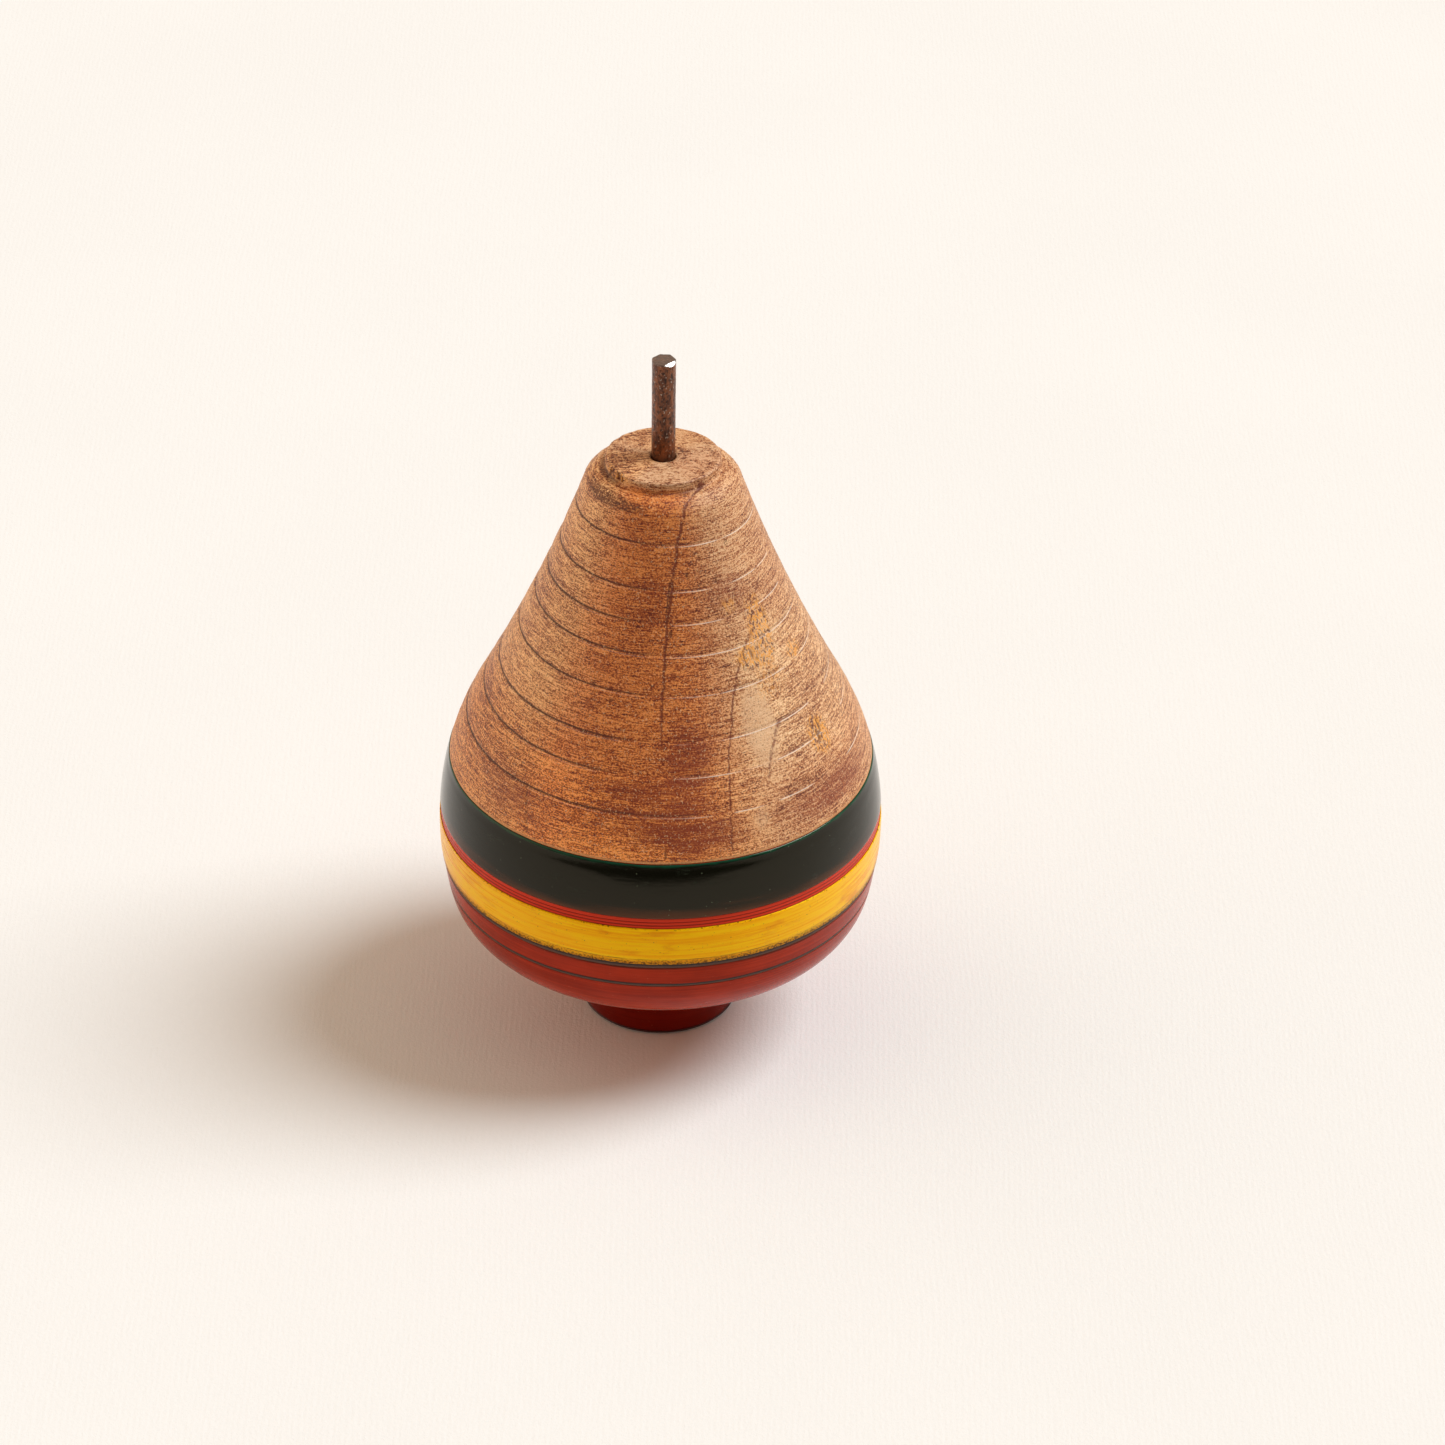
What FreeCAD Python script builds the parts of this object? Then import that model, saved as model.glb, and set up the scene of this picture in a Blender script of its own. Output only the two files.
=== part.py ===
"""Lac-turned wooden peg top, standing on its crown with the steel peg upwards.

Millimetres. +Z runs along the spin axis towards the steel peg, and the origin is the centre of
the flat crown that the top stands on. Every piece is turned about Z, so each sketch lies on its
body's XZ plane and reads as radius across and height up.

The wood is one turned blank. Its lower half carries coloured lac, melted on while the blank
turns: a red coat over everything below the bare cone, then a green and a yellow band on the red,
and two dark lines run into shallow grooves in the red.
"""
import FreeCAD, Part
import math
import os
import Sketcher

SIZES = {
    # the turned outline, over the outermost lac
    "belly_radius": (30.0, "widest radius"),
    "belly_height": (29.4, "height of the widest ring above the crown's face"),
    "body_height": (85.5, "height of the peg end's flat face"),
    "flare_arc": (41.5, "radius of the round above the belly"),
    "flare_span": (28.4, "degrees of that round"),
    "neck_arc": (228.0, "radius of the hollow cone above it"),
    "shoulder_drop": (3.5, "from the peg end's face down to where the shoulder starts"),
    "shoulder_arc": (3.0, "radius of the shoulder"),
    "shoulder_span": (60.6, "degrees of the shoulder"),
    "ledge_width": (0.4, "flat ring between the shoulder and the end boss"),
    "rim_round": (0.4, "radius of the end boss's rim"),
    "low_belly_arc": (44.0, "radius of the round below the belly"),
    "low_belly_span": (12.5, "degrees of that round"),
    "bilge_arc": (9.4, "radius of the tight turn under the belly"),
    "bilge_span": (47.5, "degrees of that turn"),
    "underside_arc": (60.0, "radius of the bowl's underside"),
    "foot_radius": (10.55, "radius of the crown, the short foot under the bowl"),
    "foot_chamfer": (0.4, "chamfer of the crown's lower edge, where the lac stops"),
    # lac
    "red_coat": (0.25, "thickness of the red coat"),
    "band_coat": (0.15, "thickness of the green and yellow bands over the red"),
    "line_depth": (0.15, "depth of the dark lines' grooves in the red"),
    "yellow_above_belly": (1.35, "yellow band's upper edge over the widest ring"),
    "yellow_below_belly": (4.55, "yellow band's lower edge under the widest ring"),
    "red_ring_width": (1.5, "red showing between the yellow and the green"),
    "green_band_width": (7.8, "height of the green band"),
    "upper_line_width": (0.65, "dark line along the yellow band's lower edge"),
    "lower_line_drop": (8.0, "from the widest ring down to the second dark line"),
    "lower_line_width": (0.5, "height of the second dark line"),
    # steel peg
    "peg_radius": (1.6, "radius of the wire nail"),
    "peg_exposed": (14.2, "length that stands out of the wood"),
    "peg_chamfer": (0.35, "filed edge at the free end"),
    "shank_depth": (30.0, "length of the driven, tapered shank"),
    "shank_end_radius": (1.3, "radius at the foot of the taper"),
    "point_length": (5.0, "length of the nail's point"),
    "point_radius": (0.25, "blunt end of the point"),
}

# Heights and surfaces that several pieces share, as expressions of the sheet. A surface is named
# by how far it lies from the outermost outline, as the end of such an expression.
PEG_TIP = "body_height + peg_exposed"
SHANK_FOOT = "body_height - shank_depth"
POINT_FOOT = f"{SHANK_FOOT} - point_length"
YELLOW_TOP = "belly_height + yellow_above_belly"
YELLOW_BOTTOM = "belly_height - yellow_below_belly"
GREEN_BOTTOM = f"{YELLOW_TOP} + red_ring_width"
GREEN_TOP = f"{GREEN_BOTTOM} + green_band_width"
UPPER_LINE_BOTTOM = f"{YELLOW_BOTTOM} - upper_line_width"
LOWER_LINE_TOP = "belly_height - lower_line_drop"
LOWER_LINE_BOTTOM = f"{LOWER_LINE_TOP} - lower_line_width"
OUTSIDE = " + band_coat"
SURFACE = ""
UNDER_BANDS = " - band_coat"
UNDER_LINES = " - band_coat - line_depth"
UNDER_RED = " - band_coat - red_coat"

# Sketch references: the origin point, the two axes, and the ends and centre of an edge.
ORIGIN = (-1, 1)
ACROSS = -1
UP = -2
START, END, CENTRE = 1, 2, 3


def make_sheet():
    """The driving dimensions, one row each: name, value, meaning."""
    table = doc.addObject("Spreadsheet::Sheet", "Sizes")
    for row, (name, (value, meaning)) in enumerate(SIZES.items(), start=1):
        table.set(f"A{row}", name)
        table.set(f"B{row}", str(value))
        table.set(f"C{row}", meaning)
        table.setAlias(f"B{row}", name)
    doc.recompute()
    return table


def size(name):
    """A driving dimension, read from the sheet."""
    return float(sheet.get(name))


def bound(text):
    """The expression with each size's name pointed at the sheet."""
    return " ".join(f"Sizes.{word}" if word in SIZES else word for word in text.split())


def worth(text):
    """What a sum or difference of sizes comes to now."""
    total = 0.0
    sign = 1.0
    for word in text.split():
        if word in ("+", "-"):
            sign = 1.0 if word == "+" else -1.0
        else:
            total += sign * (size(word) if word in SIZES else float(word))
    return total


def polar(centre, radius, degrees):
    angle = math.radians(degrees)
    return (centre[0] + radius * math.cos(angle), centre[1] + radius * math.sin(angle))


class Section:
    """A sketch of half a turned section, on its own body's XZ plane."""

    def __init__(self, body, name):
        self.sketch = body.newObject("Sketcher::SketchObject", name)
        plane = next(f for f in body.Origin.OriginFeatures if f.Role == "XZ_Plane")
        self.sketch.AttachmentSupport = (plane, [""])
        self.sketch.MapMode = "FlatFace"

    def line(self, start, end):
        edge = Part.LineSegment(FreeCAD.Vector(*start, 0), FreeCAD.Vector(*end, 0))
        return self.sketch.addGeometry(edge, False)

    def arc(self, centre, radius, first, last):
        circle = Part.Circle(FreeCAD.Vector(*centre, 0), FreeCAD.Vector(0, 0, 1), radius)
        edge = Part.ArcOfCircle(circle, math.radians(first), math.radians(last))
        return self.sketch.addGeometry(edge, False)

    def tie(self, kind, *places):
        self.sketch.addConstraint(Sketcher.Constraint(kind, *places))

    def dimension(self, kind, places, value, name, expression):
        """A driving dimension, bound to the sheet."""
        index = self.sketch.addConstraint(Sketcher.Constraint(kind, *places, value))
        self.sketch.renameConstraint(index, name)
        self.sketch.setExpression(f"Constraints.{name}", expression)

    def radius(self, arc, name, text):
        self.dimension("Radius", (arc,), worth(text), name, bound(text))

    def span(self, arc, name, size_name):
        """The angle that an arc runs through."""
        self.dimension("Angle", (arc,), math.radians(size(size_name)), name, f"Sizes.{size_name} * 1 deg")

    def out(self, edge, end, name, text):
        """A point's distance from the spin axis."""
        self.dimension("DistanceX", (*ORIGIN, edge, end), worth(text), name, bound(text))

    def up(self, edge, end, name, text):
        """A point's height above the crown's face."""
        self.dimension("DistanceY", (*ORIGIN, edge, end), worth(text), name, bound(text))

    def loop(self, prefix, corners):
        """A closed loop of straight edges, with its corners given as (radius, height)."""
        points = [(worth(across), worth(height)) for across, height in corners]
        edges = [self.line(start, end) for start, end in zip(points, points[1:] + points[:1])]
        for edge, following in zip(edges, edges[1:] + edges[:1]):
            self.tie("Coincident", edge, END, following, START)
        for edge, (across, height) in zip(edges, corners):
            if across == "0":
                self.tie("PointOnObject", edge, START, UP)
            else:
                self.out(edge, START, f"{prefix}_out_{edge}", across)
            if height == "0":
                self.tie("PointOnObject", edge, START, ACROSS)
            else:
                self.up(edge, START, f"{prefix}_up_{edge}", height)


def make_body(label):
    body = doc.addObject("PartDesign::Body", label)
    body.Label = label
    body.Placement = FreeCAD.Placement()
    return body


def turn(body, section, kind, name):
    """Revolves a section about the spin axis: a Revolution adds and a Groove cuts."""
    feature = body.newObject(f"PartDesign::{kind}", name)
    feature.Profile = section.sketch
    feature.ReferenceAxis = (section.sketch, ["V_Axis"])
    feature.Angle = 360.0
    body.Tip = feature
    doc.recompute()


def turn_away(body, section, name):
    """A groove, which has to take material away."""
    before = body.Shape.Volume
    turn(body, section, "Groove", name)
    if body.Shape.Volume >= before:
        raise RuntimeError(f"{body.Label}: {name} cut nothing")


def bowl_outline(section, prefix, surface):
    """One surface of the bowl: four tangent rounds and the crown's side, from the flare down.

    Returns the flare and the crown's side, whose free ends the section closes.
    """
    step = worth(f"0{surface}")
    turned = size("low_belly_span")
    tightest = turned + size("bilge_span")
    flare_centre = (size("belly_radius") - size("flare_arc"), size("belly_height"))
    low_centre = (size("belly_radius") - size("low_belly_arc"), size("belly_height"))
    bilge_centre = polar(low_centre, size("low_belly_arc") - size("bilge_arc"), -turned)
    under_centre = polar(bilge_centre, size("bilge_arc") - size("underside_arc"), -tightest)
    under_radius = size("underside_arc") + step
    foot = size("foot_radius") + step
    last = math.degrees(math.acos((foot - under_centre[0]) / under_radius))

    flare = section.arc(flare_centre, size("flare_arc") + step, 0, size("flare_span"))
    low = section.arc(low_centre, size("low_belly_arc") + step, -turned, 0)
    bilge = section.arc(bilge_centre, size("bilge_arc") + step, -tightest, -turned)
    under = section.arc(under_centre, under_radius, -last, -tightest)
    side = section.line(polar(under_centre, under_radius, -last), (foot, size("foot_chamfer")))

    section.tie("Horizontal", flare, CENTRE, flare, START)
    section.tie("Tangent", low, END, flare, START)
    section.tie("Tangent", bilge, END, low, START)
    section.tie("Tangent", under, END, bilge, START)
    section.tie("Coincident", under, START, side, START)
    section.tie("Vertical", side)
    section.out(flare, START, f"{prefix}_belly_radius", f"belly_radius{surface}")
    section.up(flare, START, f"{prefix}_belly_height", "belly_height")
    section.radius(flare, f"{prefix}_flare_arc", f"flare_arc{surface}")
    section.span(flare, f"{prefix}_flare_span", "flare_span")
    section.radius(low, f"{prefix}_low_belly_arc", f"low_belly_arc{surface}")
    section.span(low, f"{prefix}_low_belly_span", "low_belly_span")
    section.radius(bilge, f"{prefix}_bilge_arc", f"bilge_arc{surface}")
    section.span(bilge, f"{prefix}_bilge_span", "bilge_span")
    section.radius(under, f"{prefix}_underside_arc", f"underside_arc{surface}")
    section.out(side, END, f"{prefix}_foot_radius", f"foot_radius{surface}")
    section.up(side, END, f"{prefix}_foot_chamfer", "foot_chamfer")
    return flare, side


def neck_outline(section, flare):
    """The hollow cone above the flare, the rounded shoulder and the boss round the peg.

    Returns the boss's flat face, which ends on the spin axis.
    """
    top = size("body_height")
    rim = size("rim_round")
    steepest = size("flare_span")
    flare_centre = (size("belly_radius") - size("flare_arc"), size("belly_height"))
    neck_centre = polar(flare_centre, size("flare_arc") + size("neck_arc"), steepest)
    shoulder_height = top - size("shoulder_drop")
    gentlest = math.degrees(math.asin((neck_centre[1] - shoulder_height) / size("neck_arc")))
    shoulder_centre = polar(neck_centre, size("neck_arc") + size("shoulder_arc"), 180 + gentlest)
    shoulder_end = gentlest + size("shoulder_span")
    ledge_out, ledge_up = polar(shoulder_centre, size("shoulder_arc"), shoulder_end)
    boss = ledge_out - size("ledge_width")

    neck = section.arc(neck_centre, size("neck_arc"), 180 + gentlest, 180 + steepest)
    shoulder = section.arc(shoulder_centre, size("shoulder_arc"), gentlest, shoulder_end)
    ledge = section.line((ledge_out, ledge_up), (boss, ledge_up))
    wall = section.line((boss, ledge_up), (boss, top - rim))
    edge = section.arc((boss - rim, top - rim), rim, 0, 90)
    face = section.line((boss - rim, top), (0, top))

    section.tie("Tangent", flare, END, neck, END)
    section.tie("Tangent", shoulder, START, neck, START)
    section.tie("Coincident", shoulder, END, ledge, START)
    section.tie("Horizontal", ledge)
    section.tie("Coincident", ledge, END, wall, START)
    section.tie("Vertical", wall)
    section.tie("Tangent", wall, END, edge, START)
    section.tie("Tangent", edge, END, face, START)
    section.tie("Horizontal", face)
    section.tie("PointOnObject", face, END, UP)
    section.radius(neck, "neck_arc", "neck_arc")
    section.up(neck, START, "shoulder_height", "body_height - shoulder_drop")
    section.radius(shoulder, "shoulder_arc", "shoulder_arc")
    section.span(shoulder, "shoulder_span", "shoulder_span")
    section.dimension("DistanceX", (ledge, END, ledge, START), size("ledge_width"),
                      "ledge_width", bound("ledge_width"))
    section.radius(edge, "rim_round", "rim_round")
    section.up(face, END, "body_height", "body_height")
    return face


def make_blank():
    """The whole turned outline in wood, with the hole that the peg is driven into."""
    body = make_body("turned_blank")
    section = Section(body, "blank_section")
    flare, side = bowl_outline(section, "blank", SURFACE)
    face = neck_outline(section, flare)
    foot = size("foot_radius")
    chamfer = size("foot_chamfer")
    bevel = section.line((foot, chamfer), (foot - chamfer, 0))
    base = section.line((foot - chamfer, 0), (0, 0))
    axis = section.line((0, 0), (0, size("body_height")))
    section.tie("Coincident", side, END, bevel, START)
    section.tie("Coincident", bevel, END, base, START)
    section.tie("PointOnObject", bevel, END, ACROSS)
    section.tie("Coincident", base, END, *ORIGIN)
    section.tie("Coincident", axis, START, base, END)
    section.tie("Coincident", axis, END, face, END)
    section.out(bevel, END, "rest_radius", "foot_radius - foot_chamfer")
    turn(body, section, "Revolution", "turning")

    hole = Section(body, "peg_hole_section")
    hole.loop("hole", [
        ("0", "body_height"),
        ("peg_radius", "body_height"),
        ("shank_end_radius", SHANK_FOOT),
        ("point_radius", POINT_FOOT),
        ("0", POINT_FOOT),
    ])
    turn_away(body, hole, "peg_hole")
    return body


def make_skin(label, outer, inner, top, bottom=None):
    """A turned skin between two surfaces, level at its top edge and, where given, its bottom."""
    body = make_body(label)
    section = Section(body, f"{label}_section")
    outer_flare, outer_side = bowl_outline(section, "outer", outer)
    inner_flare, inner_side = bowl_outline(section, "inner", inner)
    steps = [worth(f"0{surface}") for surface in (outer, inner)]
    flare_centre = (size("belly_radius") - size("flare_arc"), size("belly_height"))
    lip = section.line(*(polar(flare_centre, size("flare_arc") + step, size("flare_span")) for step in steps))
    hem = section.line(*((size("foot_radius") + step, size("foot_chamfer")) for step in steps))
    section.tie("Coincident", lip, START, outer_flare, END)
    section.tie("Coincident", lip, END, inner_flare, END)
    section.tie("Coincident", hem, START, outer_side, END)
    section.tie("Coincident", hem, END, inner_side, END)
    turn(body, section, "Revolution", f"{label}_coat")

    trim = Section(body, f"{label}_trim_section")
    near = "peg_radius"
    far = "belly_radius + peg_radius"
    trim.loop("over", [(near, top), (far, top), (far, "body_height"), (near, "body_height")])
    if bottom:
        trim.loop("under", [(near, "0"), (far, "0"), (far, bottom), (near, bottom)])
    turn_away(body, trim, f"{label}_trim")
    return body


def make_cut(label, base, *tools):
    """A piece with others cut out of it, so that they meet face to face."""
    for step, tool in enumerate(tools, start=1):
        cut = doc.addObject("Part::Cut", label if step == len(tools) else f"{label}_{step}")
        cut.Base = base
        cut.Tool = tool
        base = cut
    base.Label = label
    base.Placement = FreeCAD.Placement()
    doc.recompute()
    return base


def make_peg():
    """A wire nail driven point first, with its head cut off and the free end filed flat."""
    body = make_body("steel_peg")
    section = Section(body, "peg_section")
    section.loop("peg", [
        ("0", PEG_TIP),
        ("peg_radius - peg_chamfer", PEG_TIP),
        ("peg_radius", f"{PEG_TIP} - peg_chamfer"),
        ("peg_radius", "body_height"),
        ("shank_end_radius", SHANK_FOOT),
        ("point_radius", POINT_FOOT),
        ("0", POINT_FOOT),
    ])
    turn(body, section, "Revolution", "nail")
    return body


def make_pieces():
    """Every sub-part of the top."""
    upper_line = make_skin("upper_dark_line", UNDER_BANDS, UNDER_LINES, YELLOW_BOTTOM, UPPER_LINE_BOTTOM)
    lower_line = make_skin("lower_dark_line", UNDER_BANDS, UNDER_LINES, LOWER_LINE_TOP, LOWER_LINE_BOTTOM)
    red = make_skin("red_coat_before_lines", UNDER_BANDS, UNDER_RED, GREEN_TOP)
    seat = make_skin("lac_seat", OUTSIDE, UNDER_RED, GREEN_TOP)
    return [
        make_cut("wood_body", make_blank(), seat),
        make_peg(),
        make_cut("red_base_lacquer", red, upper_line, lower_line),
        make_skin("green_lacquer_band", SURFACE, UNDER_BANDS, GREEN_TOP, GREEN_BOTTOM),
        make_skin("yellow_lacquer_band", SURFACE, UNDER_BANDS, YELLOW_TOP, YELLOW_BOTTOM),
        upper_line,
        lower_line,
    ]


def check_document():
    for item in doc.Objects:
        if "Invalid" in item.State or "Error" in item.State:
            raise RuntimeError(f"{item.Name} failed: {item.State}")
        if item.TypeId == "Sketcher::SketchObject" and item.solve() != 0:
            raise RuntimeError(f"{item.Name} has no solution")


def export(pieces):
    """Writes each piece as parts/NODE.step, once every piece has proved sound."""
    for piece in pieces:
        if piece.Shape.isNull() or not piece.Shape.isValid():
            raise RuntimeError(f"{piece.Label} has no sound shape")
    os.makedirs("parts", exist_ok=True)
    for piece in pieces:
        piece.Shape.exportStep(f"parts/{piece.Label}.step")
        print(f"{piece.Label}: {len(piece.Shape.Solids)} solid, {piece.Shape.Volume:.1f} mm3")


doc = FreeCAD.newDocument("PegTop")
sheet = make_sheet()
all_pieces = make_pieces()
doc.recompute()
check_document()
export(all_pieces)
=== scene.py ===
"""Looks of the lac-turned wooden peg top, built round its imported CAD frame.

Every piece is turned about Z, so every piece here is a lathe mesh: rows of (radius, height) swept
round in equal steps. Lengths are millimetres until the mesh is made, which writes metres. Angles
run from the front (-Y) towards the right (+X), in degrees.
"""

import math

import bpy
import numpy as np
from mathutils import Matrix, Vector, noise


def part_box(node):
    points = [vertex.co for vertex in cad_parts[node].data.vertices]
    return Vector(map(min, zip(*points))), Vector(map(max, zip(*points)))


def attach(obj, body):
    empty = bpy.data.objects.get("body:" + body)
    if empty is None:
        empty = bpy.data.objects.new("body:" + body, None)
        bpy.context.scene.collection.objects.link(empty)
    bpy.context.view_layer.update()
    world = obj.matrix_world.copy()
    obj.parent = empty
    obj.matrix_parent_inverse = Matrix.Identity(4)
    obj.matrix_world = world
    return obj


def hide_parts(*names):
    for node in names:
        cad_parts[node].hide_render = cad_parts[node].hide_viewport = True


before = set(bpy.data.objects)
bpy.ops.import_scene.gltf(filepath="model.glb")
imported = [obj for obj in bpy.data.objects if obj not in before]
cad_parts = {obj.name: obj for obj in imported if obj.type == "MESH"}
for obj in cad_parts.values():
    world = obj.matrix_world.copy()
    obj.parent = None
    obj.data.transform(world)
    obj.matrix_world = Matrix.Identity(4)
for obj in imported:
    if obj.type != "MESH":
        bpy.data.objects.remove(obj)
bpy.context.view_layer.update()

MM = 0.001

# The turned outline over the outermost lac, as in the part's own sizes.
BELLY_RADIUS = 30.0
BELLY_HEIGHT = 29.4
FLARE_ARC = 41.5
FLARE_SPAN = 28.4
NECK_ARC = 228.0
SHOULDER_DROP = 3.5
SHOULDER_ARC = 3.0
SHOULDER_SPAN = 60.6
LEDGE_WIDTH = 0.4
RIM_ROUND = 0.4
LOW_BELLY_ARC = 44.0
LOW_BELLY_SPAN = 12.5
BILGE_ARC = 9.4
BILGE_SPAN = 47.5
UNDERSIDE_ARC = 60.0
FOOT_RADIUS = 10.55
FOOT_CHAMFER = 0.4
# About where the crown meets the bowl.
CROWN_TOP = 7.9

# How deep each surface lies under the outline.
RED_FACE = 0.15
LINE_FLOOR = 0.3
WOOD_SEAT = 0.4
CLEARANCE = 0.005

# The peg.
PEG_RADIUS = 1.6
SHANK_DEPTH = 30.0
SHANK_END_RADIUS = 1.3
POINT_LENGTH = 5.0
POINT_RADIUS = 0.25

# The tool's nine deep rings on the bare cone: height, depth and half width.
TOOL_RINGS = [
    (83.0, 0.05, 0.3),
    (78.6, 0.11, 0.26),
    (73.0, 0.13, 0.26),
    (69.0, 0.13, 0.28),
    (65.1, 0.14, 0.28),
    (60.3, 0.12, 0.26),
    (54.8, 0.12, 0.28),
    (50.8, 0.1, 0.26),
    (46.2, 0.1, 0.3),
]
RING_TILT = 0.34
# The rings' tilt fades out over these heights, at the lac and at the shoulder.
TILT_LOW = (40.2, 45.0)
TILT_HIGH = (81.9, 77.0)

# The tree's own rings: the pith runs beside the top, parallel to its axis.
PITH = (28.6, -21.5)

SEGMENTS = 504
PEG_SEGMENTS = 144

# The cloth: its two tones, how far its ribs are apart, and where it ends.
CLOTH_LOW = (0.845, 0.835, 0.815, 1.0)
CLOTH_HIGH = (0.865, 0.855, 0.835, 1.0)
RIB_SPACING = 0.75
FLOOR_FRONT = -215.0
FLOOR_BACK = 900.0
FLOOR_SIDE = 800.0

# The light: a broad sun from the right, and a studio that is warm behind and dim in front.
SUN_AZIMUTH = 99.0
SUN_ELEVATION = 51.0
SUN_SPREAD = 32.0
SUN_STRENGTH = 2.9
SUN_COLOUR = (0.86, 0.93, 0.98)
WORLD_STRENGTH = 0.52
LEFT_GAIN = 2.6
LOW_GAIN = 1.6
WORLD_DIM = (0.11, 0.09, 0.075, 1.0)
WORLD_WARM = (1.0, 0.8, 0.62, 1.0)

# The camera, as fitted to the photograph; it turns about a point on the axis.
CAMERA_TARGET = 40.0
CAMERA_DISTANCE = 800.0
CAMERA_RIGHT = 8.239
CAMERA_UP = 3.475
CAMERA_ELEVATION = 32.43
CAMERA_ROLL = -0.8175
CAMERA_LENS = 147.7
SENSOR_WIDTH = 36.0


def node_heights(node):
    """A CAD node's lowest and highest point, in millimetres."""
    low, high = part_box(node)
    return low.z / MM, high.z / MM


BODY_TOP = node_heights("wood_body")[1]
PEG_TIP = node_heights("steel_peg")[1]
RED_LOW, RED_HIGH = node_heights("red_base_lacquer")
GREEN_LOW, GREEN_HIGH = node_heights("green_lacquer_band")
YELLOW_LOW, YELLOW_HIGH = node_heights("yellow_lacquer_band")
UPPER_LOW, UPPER_HIGH = node_heights("upper_dark_line")
LOWER_LOW, LOWER_HIGH = node_heights("lower_dark_line")


# ---- outline


def polar(centre, radius, degrees):
    angle = math.radians(degrees)
    return (centre[0] + radius * math.cos(angle), centre[1] + radius * math.sin(angle))


def arc_run(centre, radius, first, last, count, side=1.0):
    """Rows of (radius, height, out, up) along an arc; side is -1 where its centre is outside."""
    angles = np.radians(np.linspace(first, last, count))
    out = np.cos(angles)
    up = np.sin(angles)
    return np.column_stack([centre[0] + radius * out, centre[1] + radius * up, side * out, side * up])


def turned_outline():
    """The outline from the crown's edge up to the ledge, and the shoulder's part of it."""
    flare_centre = (BELLY_RADIUS - FLARE_ARC, BELLY_HEIGHT)
    low_centre = (BELLY_RADIUS - LOW_BELLY_ARC, BELLY_HEIGHT)
    tightest = LOW_BELLY_SPAN + BILGE_SPAN
    bilge_centre = polar(low_centre, LOW_BELLY_ARC - BILGE_ARC, -LOW_BELLY_SPAN)
    under_centre = polar(bilge_centre, BILGE_ARC - UNDERSIDE_ARC, -tightest)
    last = math.degrees(math.acos((FOOT_RADIUS - under_centre[0]) / UNDERSIDE_ARC))
    neck_centre = polar(flare_centre, FLARE_ARC + NECK_ARC, FLARE_SPAN)
    drop = neck_centre[1] - (BODY_TOP - SHOULDER_DROP)
    gentlest = math.degrees(math.asin(drop / NECK_ARC))
    shoulder_centre = polar(neck_centre, NECK_ARC + SHOULDER_ARC, 180 + gentlest)
    corner = polar(under_centre, UNDERSIDE_ARC, -last)
    side_heights = np.linspace(FOOT_CHAMFER, corner[1], 24, endpoint=False)
    side = np.column_stack([
        np.full(24, FOOT_RADIUS), side_heights, np.ones(24), np.zeros(24),
    ])
    wall = np.vstack([
        side,
        arc_run(under_centre, UNDERSIDE_ARC, -last, -tightest, 40),
        arc_run(bilge_centre, BILGE_ARC, -tightest, -LOW_BELLY_SPAN, 40)[1:],
        arc_run(low_centre, LOW_BELLY_ARC, -LOW_BELLY_SPAN, 0, 30)[1:],
        arc_run(flare_centre, FLARE_ARC, 0, FLARE_SPAN, 60)[1:],
        arc_run(neck_centre, NECK_ARC, 180 + FLARE_SPAN, 180 + gentlest, 120, side=-1.0)[1:],
    ])
    shoulder = arc_run(shoulder_centre, SHOULDER_ARC, gentlest, gentlest + SHOULDER_SPAN, 13)
    return wall, shoulder


WALL, SHOULDER = turned_outline()


def surface(heights, depth):
    """Radii of the surface that lies `depth` under the outline, at the given heights."""
    out = np.interp(heights, WALL[:, 1], WALL[:, 2])
    radii = np.interp(heights, WALL[:, 1], WALL[:, 0]) - depth / out
    crown = FOOT_RADIUS - depth
    return np.where(heights < BELLY_HEIGHT, np.maximum(radii, crown), radii)


def lean(heights):
    """The outline's outward normal (out, up) at the given heights."""
    return np.interp(heights, WALL[:, 1], WALL[:, 2]), np.interp(heights, WALL[:, 1], WALL[:, 3])


# ---- fields on the surface


def around(segments):
    """The angles of a lathe mesh's columns, in degrees from the front."""
    return np.arange(segments) * 360.0 / segments - 180.0


def turn_between(angles, centre):
    """Signed difference of angles, in degrees, from -180 to 180."""
    return (angles - centre + 180.0) % 360.0 - 180.0


def smooth_step(value, low, high):
    part = np.clip((value - low) / (high - low), 0.0, 1.0)
    return part * part * (3.0 - 2.0 * part)


def wobble(angles, seed, waves=9):
    """A closed, seeded ripple round the top, between about -1 and 1."""
    rng = np.random.default_rng(seed)
    total = np.zeros_like(angles)
    for wave in range(1, waves + 1):
        phase = rng.uniform(0.0, 2.0 * math.pi)
        total = total + rng.uniform(0.4, 1.0) / math.sqrt(wave) * np.sin(np.radians(angles) * wave + phase)
    return total / 2.4


def cloud(points, scale, seed):
    """Smooth noise from -1 to 1 at an array of places in millimetres."""
    shift = Vector((seed * 7.13, seed * 3.71, seed * 5.37))
    flat = points.reshape(-1, 3) * scale
    values = [noise.noise(Vector(row) + shift) for row in flat]
    return np.array(values).reshape(points.shape[:-1])


def spots(angles, heights, radii, marks):
    """How strongly a list of soft spots (angle, height, half width, half height, strength) acts."""
    total = np.zeros(np.broadcast(angles, heights).shape)
    for angle, height, half_width, half_height, strength in marks:
        across = np.radians(turn_between(angles, angle)) * radii / half_width
        along = (heights - height) / half_height
        total = total + strength * np.exp(-((across ** 2 + along ** 2) ** 1.5))
    return total


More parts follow.
